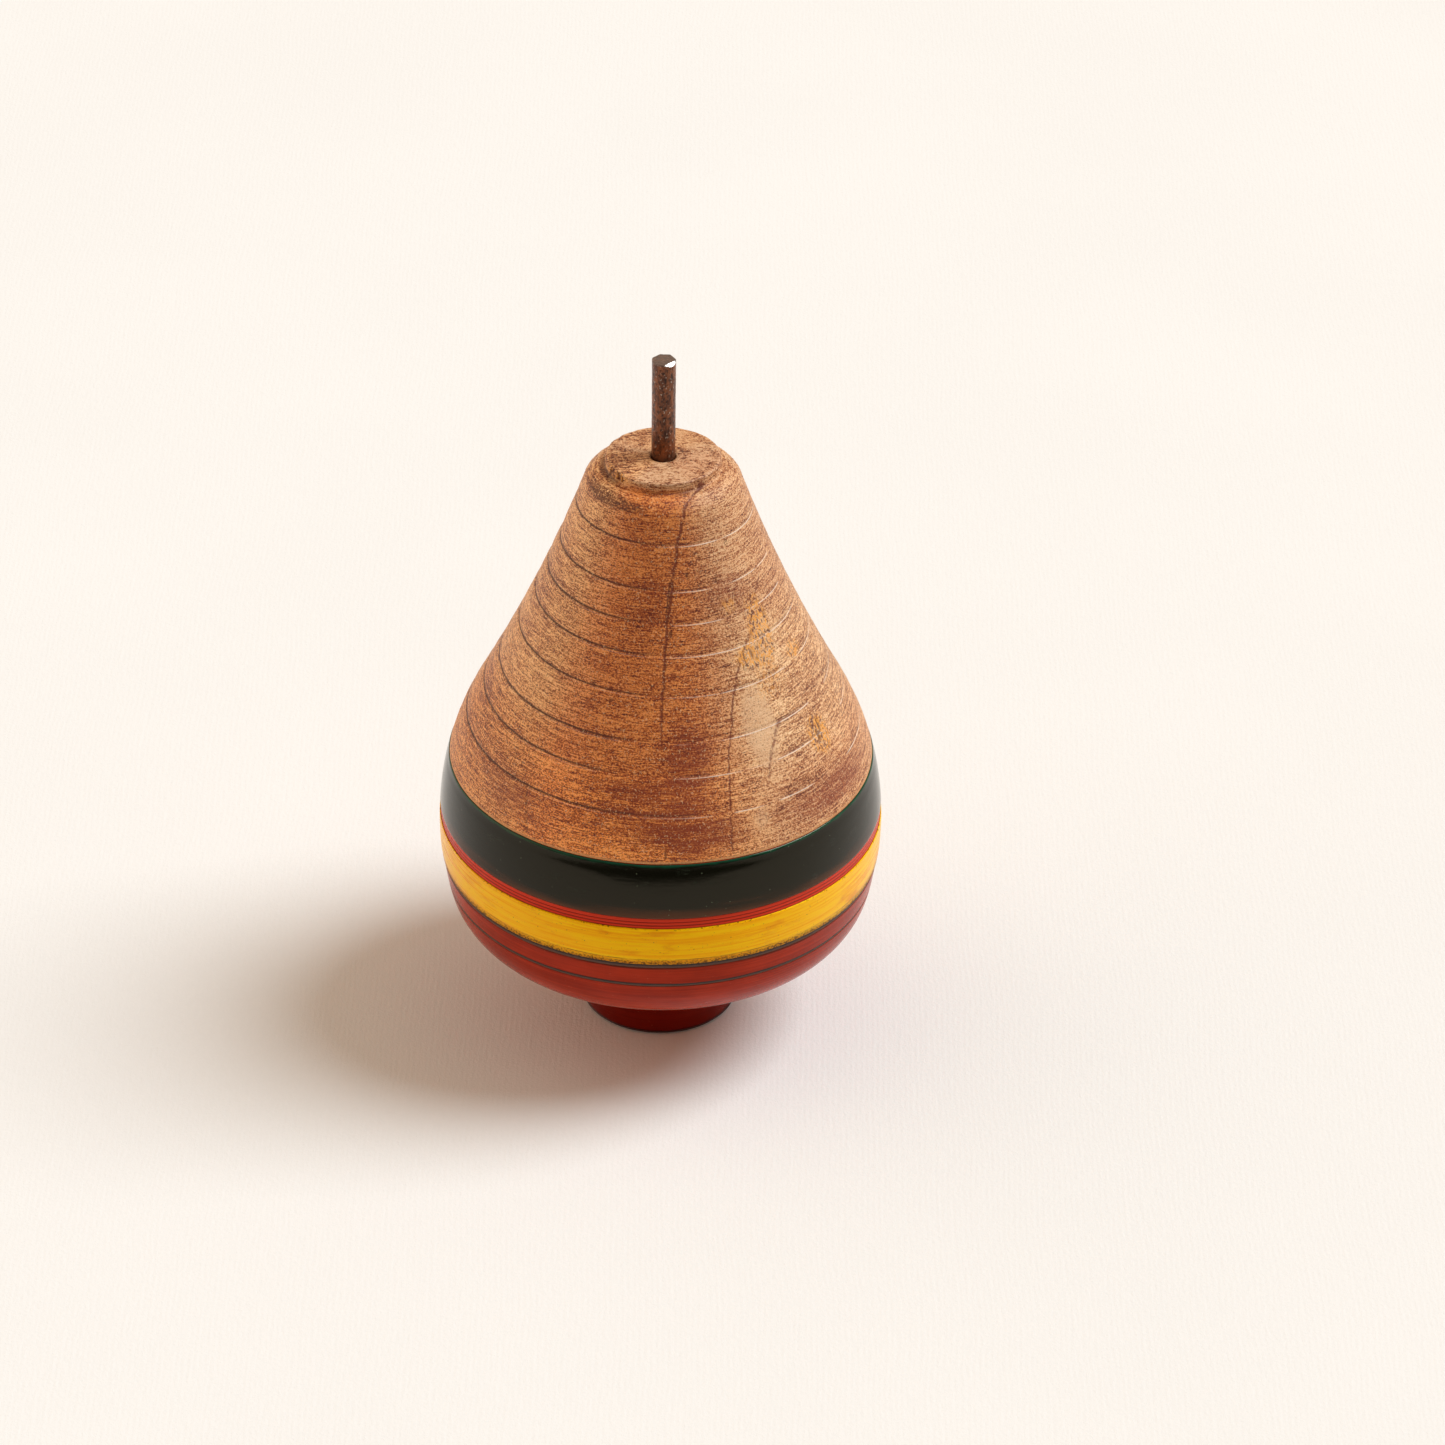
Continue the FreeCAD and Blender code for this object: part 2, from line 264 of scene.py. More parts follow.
def scattered(zone, count, seed, size, depth):
    """Seeded small pits inside a zone given as (low angle, high angle, low height, high height)."""
    rng = np.random.default_rng(seed)
    marks = []
    for _ in range(count):
        angle = rng.uniform(zone[0], zone[1])
        height = rng.uniform(zone[2], zone[3])
        width = size * rng.uniform(0.6, 1.2)
        marks.append((angle, height, width, width * rng.uniform(0.9, 2.2), depth * rng.uniform(0.4, 1.0)))
    return marks


# ---- meshes


def placed(name, data):
    """A new object in the scene."""
    made = bpy.data.objects.new(name, data)
    bpy.context.scene.collection.objects.link(made)
    return made


def swept(angles, radii, heights):
    """Places (x, y, z) of radii and heights at angles from the front."""
    turn = np.radians(angles)
    return np.stack([radii * np.sin(turn), -radii * np.cos(turn), heights], axis=-1)


def rings(pairs, columns=SEGMENTS):
    """Round rows of a lathe mesh from (radius, height) pairs."""
    table = np.array(pairs)
    ones = np.ones(columns)
    return table[:, :1] * ones, table[:, 1:] * ones


def lathe(name, radii, heights, closed_ring=False):
    """A closed mesh from (rows, columns) arrays of radius and height.

    A ring joins its last row to its first. Otherwise the ends close on the axis.
    """
    rows, columns = radii.shape
    points = swept(around(columns), radii, heights).reshape(-1, 3)
    faces = []
    row_pairs = rows if closed_ring else rows - 1
    for row in range(row_pairs):
        here = row * columns
        above = ((row + 1) % rows) * columns
        for column in range(columns):
            beside = (column + 1) % columns
            faces.append((here + column, here + beside, above + beside, above + column))
    if not closed_ring:
        foot = len(points)
        head = foot + 1
        points = np.vstack([points, [0.0, 0.0, heights[0].mean()], [0.0, 0.0, heights[-1].mean()]])
        last = (rows - 1) * columns
        for column in range(columns):
            beside = (column + 1) % columns
            faces.append((foot, beside, column))
            faces.append((head, last + column, last + beside))
    mesh = bpy.data.meshes.new(name)
    mesh.from_pydata((points * MM).tolist(), [], faces)
    mesh.polygons.foreach_set("use_smooth", [True] * len(mesh.polygons))
    mesh.update()
    return placed(name, mesh)


def store(piece, name, values):
    """Keeps a value per vertex, for the material to read."""
    layer = piece.data.attributes.new(name, "FLOAT", "POINT")
    flat = np.zeros(len(piece.data.vertices), np.float32)
    flat[:values.size] = values.reshape(-1)
    layer.data.foreach_set("value", flat)


def skin(name, low, high, face, back, low_wave, high_wave, dip, rows, round_off=0.06):
    """A turned ring of lac between two heights, `face` to `back` under the outline.

    Its edges are rounded and wander a little; dip(heights, angles) sinks the face further.
    """
    angles = around(SEGMENTS)[None, :]
    low_edge = low + low_wave
    high_edge = high + high_wave
    share = np.linspace(0.0, 1.0, rows)[:, None]
    heights = low_edge + (high_edge - low_edge) * share
    edge = np.minimum(heights - low_edge, high_edge - heights)
    rounding = round_off * np.clip(1.0 - edge / (round_off * 2.0), 0.0, 1.0) ** 2
    depth = face + CLEARANCE + rounding + dip(heights, angles)
    depth = np.minimum(depth, back - 0.012)
    radii = np.vstack([surface(heights, depth), surface(heights, back)[::-1]])
    levels = np.vstack([heights, heights[::-1]])
    return lathe(name, radii, levels, closed_ring=True)


# ---- wood

# Torn and pitted places: (angle, height, half width, half height, depth).
PITS = [
    (22.8, 76.6, 0.35, 0.3, 0.16),
    (14.7, 74.7, 0.3, 0.45, 0.14),
    (31.6, 73.3, 0.3, 0.28, 0.14),
    (4.7, 67.7, 0.3, 0.42, 0.18),
    (-27, 60.8, 0.35, 0.3, 0.12),
    (-19, 59.2, 0.3, 0.25, 0.12),
    (-17, 59.4, 0.25, 0.22, 0.1),
    (-56, 56.3, 0.3, 0.3, 0.12),
    (-60, 56.2, 0.3, 0.25, 0.1),
    (-62, 52.1, 0.3, 0.3, 0.12),
    (-44, 78.9, 0.25, 0.25, 0.1),
    (-42.5, 70.8, 0.28, 0.25, 0.1),
    (-47.5, 68.9, 0.28, 0.25, 0.1),
    (59.4, 50.2, 0.3, 0.9, 0.15),
    (61.4, 51.4, 0.28, 0.7, 0.13),
    (42, 63.2, 0.26, 0.7, 0.13),
]
# Zones of seeded pits: ((low angle, high angle, low height, high height), count, seed, size, depth).
TORN_ZONES = [
    ((36, 48, 61.6, 64.6), 30, 11, 0.17, 0.12),
    ((46, 57, 60.5, 70), 50, 12, 0.16, 0.11),
    ((55, 66, 47.8, 53), 40, 13, 0.17, 0.12),
    ((66, 88, 50, 64), 44, 14, 0.17, 0.1),
    ((24, 45, 66, 72), 22, 15, 0.16, 0.1),
    ((-60, 20, 55, 68), 60, 16, 0.15, 0.09),
    ((5, 35, 70, 78), 26, 17, 0.16, 0.1),
    ((100, 240, 45, 78), 90, 18, 0.18, 0.1),
]
# Cracks along the grain: (angle and height at the top, the same at the bottom, half width, depth).
CRACKS = [
    (-41.5, 46.6, -37.5, 40.6, 0.16, 0.12),
    (2.5, 43.4, 2.2, 40.8, 0.14, 0.1),
    (31.6, 45, 30.6, 40.4, 0.12, 0.05),
    (4.9, 74.2, 2.8, 70.2, 0.14, 0.1),
    (176, 70, 173.5, 58, 0.16, 0.12),
    (118, 55, 121, 47, 0.15, 0.1),
]
# Soft zones of colour, by the name of what the material reads: (angle, height, half width, half
# height, strength).
SOFT_ZONES = {}
SOFT_ZONES["pale"] = [
    (37, 54.8, 2.9, 5.6, 1.5),
    (30, 44.3, 1.9, 2.2, 0.9),
    (52, 64, 3.4, 4, 0.75),
    (62, 50, 5, 2.4, 0.55),
    (41, 63, 2.6, 2, 0.65),
    (-20, 74, 3, 2.6, 0.3),
    (-52, 57, 6, 5, 0.3),
    (44, 76, 3, 4, 0.35),
    (150, 60, 8, 9, 0.6),
    (-130, 52, 9, 6, 0.5),
]
SOFT_ZONES["ruddy"] = [
    (-4, 47, 8.5, 4.6, 0.75),
    (11, 43.6, 7, 3.4, 1),
    (58, 43.5, 12, 2.6, 0.75),
    (10, 53, 3.8, 5, 0.8),
    (-6, 72, 2.4, 4.5, 0.5),
    (38, 72, 3.4, 2.6, 0.55),
    (-38, 44, 5, 3.4, 0.45),
    (22, 66, 2.2, 6, 0.25),
    (66, 55, 5, 4, 0.35),
    (-52, 45, 6, 3.6, 0.45),
    (-72, 66, 4, 9, 0.3),
    (-160, 62, 7, 10, 0.6),
    (115, 66, 5, 8, 0.6),
]
SOFT_ZONES["torn"] = [
    (43, 63.2, 2.9, 1.6, 1.2),
    (50.5, 66, 2, 4.2, 1.1),
    (60, 50.4, 2.2, 2.4, 1.2),
    (46, 59, 3.4, 2.4, 0.45),
    (66, 60.8, 2, 1.4, 0.7),
    (-55, 84.9, 2.6, 0.9, 1),
    (36, 70, 1.6, 1.4, 0.5),
    (170, 64, 4, 3, 0.8),
]
SOFT_ZONES["stain"] = [
    (-50, 82.9, 5.2, 0.85, 1),
    (-26, 82.7, 3, 0.55, 0.6),
    (-55, 47, 4, 3, 0.25),
    (-70, 49, 4, 4, 0.3),
    (46, 46, 4, 1.4, 0.35),
]


def tool_marks(angles, heights):
    """Depth of the turning tool's rings and of the slight flats between them."""
    depth = np.zeros(np.broadcast(angles, heights).shape)
    left = 0.55 + 0.45 * np.cos(np.radians(angles + 75.0))
    for index, (height, deep, half) in enumerate(TOOL_RINGS):
        fade = left * (0.85 + 0.15 * wobble(angles, 40 + index, waves=5))
        part = (heights - height) / half
        depth = depth + deep * fade * np.exp(-part ** 2)
        depth = depth + 0.05 * fade * smooth_step(part, 7.0, 0.0) * (part > 0)
    return depth


def crack_depth(angles, heights, radii):
    """Depth and strength of the narrow cracks."""
    depth = np.zeros(np.broadcast(angles, heights).shape)
    for top_angle, top, bottom_angle, bottom, half, deep in CRACKS:
        share = np.clip((top - heights) / (top - bottom), 0.0, 1.0)
        centre = top_angle + (bottom_angle - top_angle) * share
        across = np.radians(turn_between(angles, centre)) * radii / half
        inside = smooth_step(heights, bottom - 0.6, bottom + 0.4)
        inside = inside * smooth_step(heights, top + 0.6, top - 0.4)
        depth = depth + deep * inside * np.exp(-across ** 2)
    return depth


def cone_heights():
    """Row heights over the bare cone: close together across each tool ring."""
    across = np.array([-0.62, -0.36, -0.2, -0.08, 0.05, 0.2, 0.42])
    rows = [40.09, 40.16, 40.3, 40.5]
    for height, _, _ in TOOL_RINGS[1:]:
        rows.extend(height + across)
    rows = sorted(rows)
    top = SHOULDER[0, 1]
    filled = [rows[0]]
    for height in rows[1:] + [top]:
        gap = height - filled[-1]
        parts = max(1, int(math.ceil(gap / 0.56)))
        start = filled[-1]
        filled.extend(start + gap * (part + 1) / parts for part in range(parts))
    return np.array(filled[:-1])


def wood_foot():
    """The flat crown face, its small chamfer and the seat under the lac."""
    foot = FOOT_RADIUS - FOOT_CHAMFER
    corner = (FOOT_RADIUS - 0.05, FOOT_CHAMFER - 0.03)
    base = [(3.5, 0.0), (7.0, 0.0), (foot - 0.35, 0.0), (foot, 0.03), corner]
    heights = np.concatenate([
        [FOOT_CHAMFER + 0.01], np.linspace(1.0, 12.0, 6), np.linspace(14.0, 39.4, 10), [GREEN_HIGH - 0.02],
    ])
    return rings(base + list(zip(surface(heights, WOOD_SEAT + CLEARANCE * 2), heights)))


def wood_cone(angles):
    """The bare cone, its rows following the tilt of the tool rings, and what its material reads."""
    heights = cone_heights()[:, None] * np.ones_like(angles)
    hold = smooth_step(heights, *TILT_LOW) * smooth_step(heights, *TILT_HIGH)
    levels = heights + RING_TILT * hold * -np.sin(np.radians(angles))
    radii = surface(levels, 0.02)
    depth = tool_marks(angles, heights)
    pits = spots(angles, levels, radii, PITS)
    for zone, count, seed, size, deep in TORN_ZONES:
        pits = pits + spots(angles, levels, radii, scattered(zone, count, seed, size, deep))
    cracks = crack_depth(angles, levels, radii)
    places = swept(angles, radii, levels)
    uneven = 0.035 * (1.0 + cloud(places, np.array([0.22, 0.22, 0.5]), 1))
    rough = 0.014 * (1.0 + cloud(places, np.array([1.1, 1.1, 2.6]), 2))
    lip = 0.05 * smooth_step(heights, 40.6, 40.09)
    total = depth + np.minimum(pits, 0.24) + np.minimum(cracks, 0.14) + uneven + rough + lip
    out, up = lean(levels)
    marks = {name: spots(angles, levels, radii, zones) for name, zones in SOFT_ZONES.items()}
    marks["ring"] = np.clip(depth / 0.12, 0.0, 1.0)
    hollow = np.clip(pits / 0.14, 0.0, 1.0) + np.clip(cracks / 0.09, 0.0, 1.0)
    marks["hollow"] = np.clip(hollow, 0.0, 1.0)
    return radii - total * out, levels - total * up, marks


def head_rows(ledge_radius, ledge_height, boss):
    """Rows of (radius, height, out, up) over the shoulder, the ledge, the boss and its end face."""
    rows = [tuple(row) for row in SHOULDER]
    rows.append((ledge_radius - 0.2, ledge_height, 0.0, 1.0))
    rows.append((boss + 0.03, ledge_height, 0.5, 0.5))
    for lift in (0.2, 0.5, 0.8):
        rows.append((boss, ledge_height + lift, 1.0, 0.0))
    for bend in (0, 30, 60, 90):
        rim = polar((boss - RIM_ROUND, BODY_TOP - RIM_ROUND), RIM_ROUND, bend)
        rows.append((*rim, *polar((0.0, 0.0), 1.0, bend)))
    for across in np.linspace(boss - 0.75, PEG_RADIUS + 0.45, 14):
        rows.append((across, BODY_TOP, 0.0, 1.0))
    return np.array(rows)


def wood_head(angles):
    """Shoulder, ledge, worn boss and end face, and what their material reads."""
    ledge_radius, ledge_height = SHOULDER[-1, :2]
    boss = ledge_radius - LEDGE_WIDTH
    head = head_rows(ledge_radius, ledge_height, boss)
    across, level, out, up = (head[:, column:column + 1] for column in range(4))
    on_boss = smooth_step(across, boss - 1.0, boss - 0.2) * (across < boss + 0.02)
    radii = across - 0.1 * on_boss * np.abs(wobble(angles, 33, waves=38))
    levels = level * np.ones_like(angles)
    places = swept(angles, radii, levels)
    on_wall = smooth_step(level, ledge_height - 1.2, ledge_height) * smooth_step(across, 4.5, 6.5)
    worn = 0.01 + 0.03 * (1.0 + cloud(places, np.array([0.35, 0.35, 0.35]), 3))
    frayed = np.where(up > 0.4, 0.3, 0.2 + on_wall)
    fibre = 0.07 * (1.0 + cloud(places, np.array([1.9, 1.9, 1.4]), 4)) * frayed
    notch = 0.22 * on_wall * np.exp(-(turn_between(angles, -58.0) / 16.0) ** 2)
    ring_worn = tool_marks(angles, levels) * (across > boss + 0.1)
    pits = spots(angles, levels, radii, scattered((-66, -44, 84.2, 85.4), 26, 21, 0.2, 0.2))
    pits = pits * (across > boss - 0.6)
    sunk = worn + fibre + ring_worn + pits
    marks = {
        "hollow": np.clip(pits / 0.16, 0.0, 1.0),
        "torn": spots(angles, level, across, SOFT_ZONES["torn"]) * (across > boss - 0.5),
        "stain": spots(angles, level, across, SOFT_ZONES["stain"]),
    }
    return radii - sunk * out - notch * out * 0.4, levels - sunk * up, marks


def wood_hole(angles):
    """The hole that the peg is driven into, its mouth a little ragged."""
    radii, levels = rings([
        (PEG_RADIUS + 0.14, BODY_TOP - 0.1),
        (PEG_RADIUS + 0.05, BODY_TOP - 0.32),
        (PEG_RADIUS + 0.03, BODY_TOP - 0.8),
        (PEG_RADIUS - 0.05, BODY_TOP - 6.0),
        (SHANK_END_RADIUS + 0.01, BODY_TOP - SHANK_DEPTH),
        (POINT_RADIUS + 0.01, BODY_TOP - SHANK_DEPTH - POINT_LENGTH),
    ])
    radii[0] += np.abs(0.09 * wobble(angles[0], 31, waves=14))
    levels[0] -= 0.05 * (1.0 + wobble(angles[0], 32))
    return radii, levels


def make_wood():
    """The turned blank, one closed mesh from the crown's face to the bottom of the peg's hole."""
    angles = around(SEGMENTS)[None, :]
    foot_radii, foot_levels = wood_foot()
    cone_radii, cone_levels, cone_marks = wood_cone(angles)
    head_radii, head_levels, head_marks = wood_head(angles)
    hole_radii, hole_levels = wood_hole(angles)
    radii = np.vstack([foot_radii, cone_radii, head_radii, hole_radii])
    levels = np.vstack([foot_levels, cone_levels, head_levels, hole_levels])
    piece = lathe("turned_wood", radii, levels)
    for name, values in cone_marks.items():
        on_head = head_marks.get(name, np.zeros_like(head_radii))
        parts = [np.zeros_like(foot_radii), values, on_head, np.zeros_like(hole_radii)]
        store(piece, name, np.vstack(parts))
    return piece


# ---- lac coats


def ripple(seed, amount, waves=14):
    return amount * wobble(around(SEGMENTS), seed, waves)[None, :]


def red_dip(heights):
    """Grooves that hold the dark lines, and a scribed double line in the ring under the green."""
    depth = np.zeros_like(heights)
    for low, high in ((UPPER_LOW, UPPER_HIGH), (LOWER_LOW, LOWER_HIGH)):
        inside = (heights > low - 0.02) & (heights < high + 0.02)
        depth = np.where(inside, LINE_FLOOR - RED_FACE, depth)
    middle = (YELLOW_HIGH + GREEN_LOW) / 2
    for offset in (-0.32, 0.16):
        depth = depth + 0.05 * np.exp(-((heights - middle - offset) / 0.09) ** 2)
    return depth


def make_red():
    """The red coat, one closed skin from the crown's foot to the bare wood."""
    angles = around(SEGMENTS)[None, :]
    ones = np.ones_like(angles)
    runs = [
        [RED_LOW, RED_LOW + 0.04, RED_LOW + 0.1, RED_LOW + 0.2],
        np.linspace(RED_LOW + 0.6, CROWN_TOP - 0.3, 9),
        [CROWN_TOP + lift for lift in (-0.18, -0.1, -0.04, 0.0, 0.08, 0.2, 0.4)],
        np.linspace(CROWN_TOP + 0.8, LOWER_LOW - 0.25, 26),
        np.linspace(LOWER_HIGH + 0.3, UPPER_LOW - 0.3, 8),
        np.linspace(YELLOW_LOW + 0.5, YELLOW_HIGH - 0.3, 8),
        np.linspace(YELLOW_HIGH - 0.1, GREEN_LOW + 0.1, 26),
        np.linspace(GREEN_LOW + 0.5, RED_HIGH, 10),
    ]
    for low, high in ((LOWER_LOW, LOWER_HIGH), (UPPER_LOW, UPPER_HIGH)):
        runs.append([low - 0.12, low - 0.05, low - 0.021, low - 0.015])
        runs.append([high + 0.015, high + 0.021, high + 0.05, high + 0.12])
    heights = np.unique(np.round(np.concatenate(runs), 4))[:, None] * ones
    bead = 0.05 * (1.0 + wobble(angles, 51, waves=11)) * smooth_step(heights, RED_LOW + 0.25, RED_LOW)
    rounding = 0.1 * np.clip(1.0 - (heights - RED_LOW) / 0.25, 0.0, 1.0) ** 2
    brushed = 0.008 * (1.0 + wobble(angles, 52, waves=6))
    depth = RED_FACE + CLEARANCE + rounding + brushed + bead * 0.3 + red_dip(heights)
    depth = np.minimum(depth, LINE_FLOOR + 0.01)
    inner_heights = heights[np.unique(np.append(np.arange(0, len(heights), 5), len(heights) - 1))]
    radii = np.vstack([surface(heights, depth), surface(inner_heights, WOOD_SEAT)[::-1]])
    levels = np.vstack([heights, inner_heights[::-1]])
    return lathe("red_lac_coat", radii, levels, closed_ring=True)


def make_green():
    """The nearly black green band, its upper edge a little ragged on the wood."""
    def dip(heights, angles):
        fat = 0.02 * np.exp(-((heights - GREEN_HIGH + 0.9) / 0.5) ** 2)
        return fat + 0.006 * (1.0 + wobble(angles, 61, waves=7))
    top = ripple(62, 0.05, 30) - 0.06
    foot = ripple(63, 0.02, 12) + 0.02
    return skin("green_lac_band", GREEN_LOW, GREEN_HIGH, 0.0, RED_FACE, foot, top, dip, rows=44)


def make_yellow():
    """The yellow band, thinner where it is worn along its lower edge."""
    def dip(heights, angles):
        worn = 0.045 * smooth_step(heights, YELLOW_LOW + 1.1, YELLOW_LOW + 0.2)
        scribed = 0.05 * np.exp(-((heights - YELLOW_LOW - 0.9) / 0.06) ** 2)
        return worn + scribed * (0.5 + 0.5 * wobble(angles, 71, waves=8)) + 0.006
    top = ripple(72, 0.03, 20) - 0.03
    foot = ripple(73, 0.03, 26) + 0.03
    return skin("yellow_lac_band", YELLOW_LOW, YELLOW_HIGH, 0.0, RED_FACE, foot, top, dip, rows=52)


def make_line(name, low, high, seed):
    """A dark line run into its groove, sunk a little and hollow in the middle."""
    def dip(heights, angles):
        share = (heights - low) / (high - low)
        hollow = 0.035 * np.sin(math.pi * np.clip(share, 0.0, 1.0))
        return 0.03 + hollow + 0.008 * wobble(angles, seed)
    edge = ripple(seed + 1, 0.006, 24)
    ends = (low + 0.008, high - 0.008)
    return skin(name, *ends, RED_FACE, LINE_FLOOR, edge, edge, dip, rows=12, round_off=0.03)


# ---- peg

# Filed flats on the peg's free end: (angle, tilt from upright, how far it lies inside the corner).
FILED = [
    (44.0, 42.0, 0.36),
    (-52.0, 40.0, 0.12),
    (120.0, 38.0, 0.16),
    (-135.0, 44.0, 0.14),
    (-5.0, 46.0, 0.1),
    (178.0, 40.0, 0.12),
]


def make_peg():
    """The nail: pitted shaft, hand-filed flats round its free end, tapered shank and point."""
    angles = around(PEG_SEGMENTS)[None, :]
    foot = BODY_TOP - SHANK_DEPTH
    shank = [(POINT_RADIUS, foot - POINT_LENGTH), (SHANK_END_RADIUS - 0.03, foot)]
    shank.append((SHANK_END_RADIUS, foot + 1.0))
    shaft = np.linspace(BODY_TOP - 1.0, PEG_TIP - 1.3, 118)
    crown = np.linspace(PEG_TIP - 1.2, PEG_TIP - 0.02, 26)
    side = [(PEG_RADIUS - 0.02, level) for level in (*shaft, *crown)]
    face = [(across, PEG_TIP) for across in np.linspace(PEG_RADIUS - 0.04, 0.06, 20)]
    radii, levels = rings(shank + side + face, PEG_SEGMENTS)
    turn = np.radians(angles)
    places = swept(angles, radii, levels)
    coarse = cloud(places, np.array([1.3, 1.3, 0.6]), 5)
    pits = np.clip(cloud(places, np.array([3.4, 3.4, 2.4]), 6) - 0.12, 0.0, 1.0)
    exposed = smooth_step(levels, BODY_TOP - 0.9, BODY_TOP + 0.2)
    on_face = levels > PEG_TIP - 0.01
    sunk = exposed * (0.018 * (1.0 + coarse) + 0.05 * pits)
    radii = np.where(on_face, radii, radii - sunk)
    levels = np.where(on_face, levels - 0.02 - 0.035 * (1.0 + coarse) * (radii / PEG_RADIUS), levels)

    filed = np.zeros_like(radii)
    for angle, tilt, inside in FILED:
        slope = math.radians(tilt)
        normal = swept(angle, math.sin(slope), math.cos(slope))
        reach = PEG_RADIUS * math.sin(slope) + PEG_TIP * normal[2] - inside
        over = np.maximum(swept(angles, radii, levels) @ normal - reach, 0.0)
        across = np.sin(turn) * normal[0] - np.cos(turn) * normal[1]
        share = over / np.maximum(across ** 2 + normal[2] ** 2, 0.2)
        radii = radii - share * np.maximum(across, 0.0)
        levels = levels - share * normal[2]
        # The first flat faces the key light and gets full weight, so the material paints only it bright: a
        # painted highlight on bare filed steel.
        filed = np.maximum(filed, (over > 0.004) * (0.4 + 0.6 * (angle == FILED[0][0])))
    piece = lathe("nail_peg", np.maximum(radii, 0.02), levels)
    store(piece, "filed", filed)
    store(piece, "pitted", exposed * np.clip(pits * 3.0, 0.0, 1.0))
    return piece


# ---- materials


def srgb(red, green, blue):
    """A display colour, 0 to 255, as linear RGBA."""
    channels = []
    for value in (red, green, blue):
        part = value / 255.0
        channels.append(part / 12.92 if part <= 0.04045 else ((part + 0.055) / 1.055) ** 2.4)
    return (*channels, 1.0)


def preset(made, **values):
    """Sets a node's own inputs by name, with _ for a space."""
    for name, value in values.items():
        made.inputs[name.replace("_", " ")].default_value = value


class Field:
    """A number in a material's node tree; arithmetic on it adds Math nodes."""

    def __init__(self, paint, socket):
        self.paint = paint
        self.socket = socket

    def __add__(self, other):
        return self.paint.calc("ADD", self, other)

    def __sub__(self, other):
        return self.paint.calc("SUBTRACT", self, other)

    def __rsub__(self, other):
        return self.paint.calc("SUBTRACT", other, self)

    def __mul__(self, other):
        return self.paint.calc("MULTIPLY", self, other)

    def __truediv__(self, other):
        return self.paint.calc("DIVIDE", self, other)

    __radd__ = __add__
    __rmul__ = __mul__


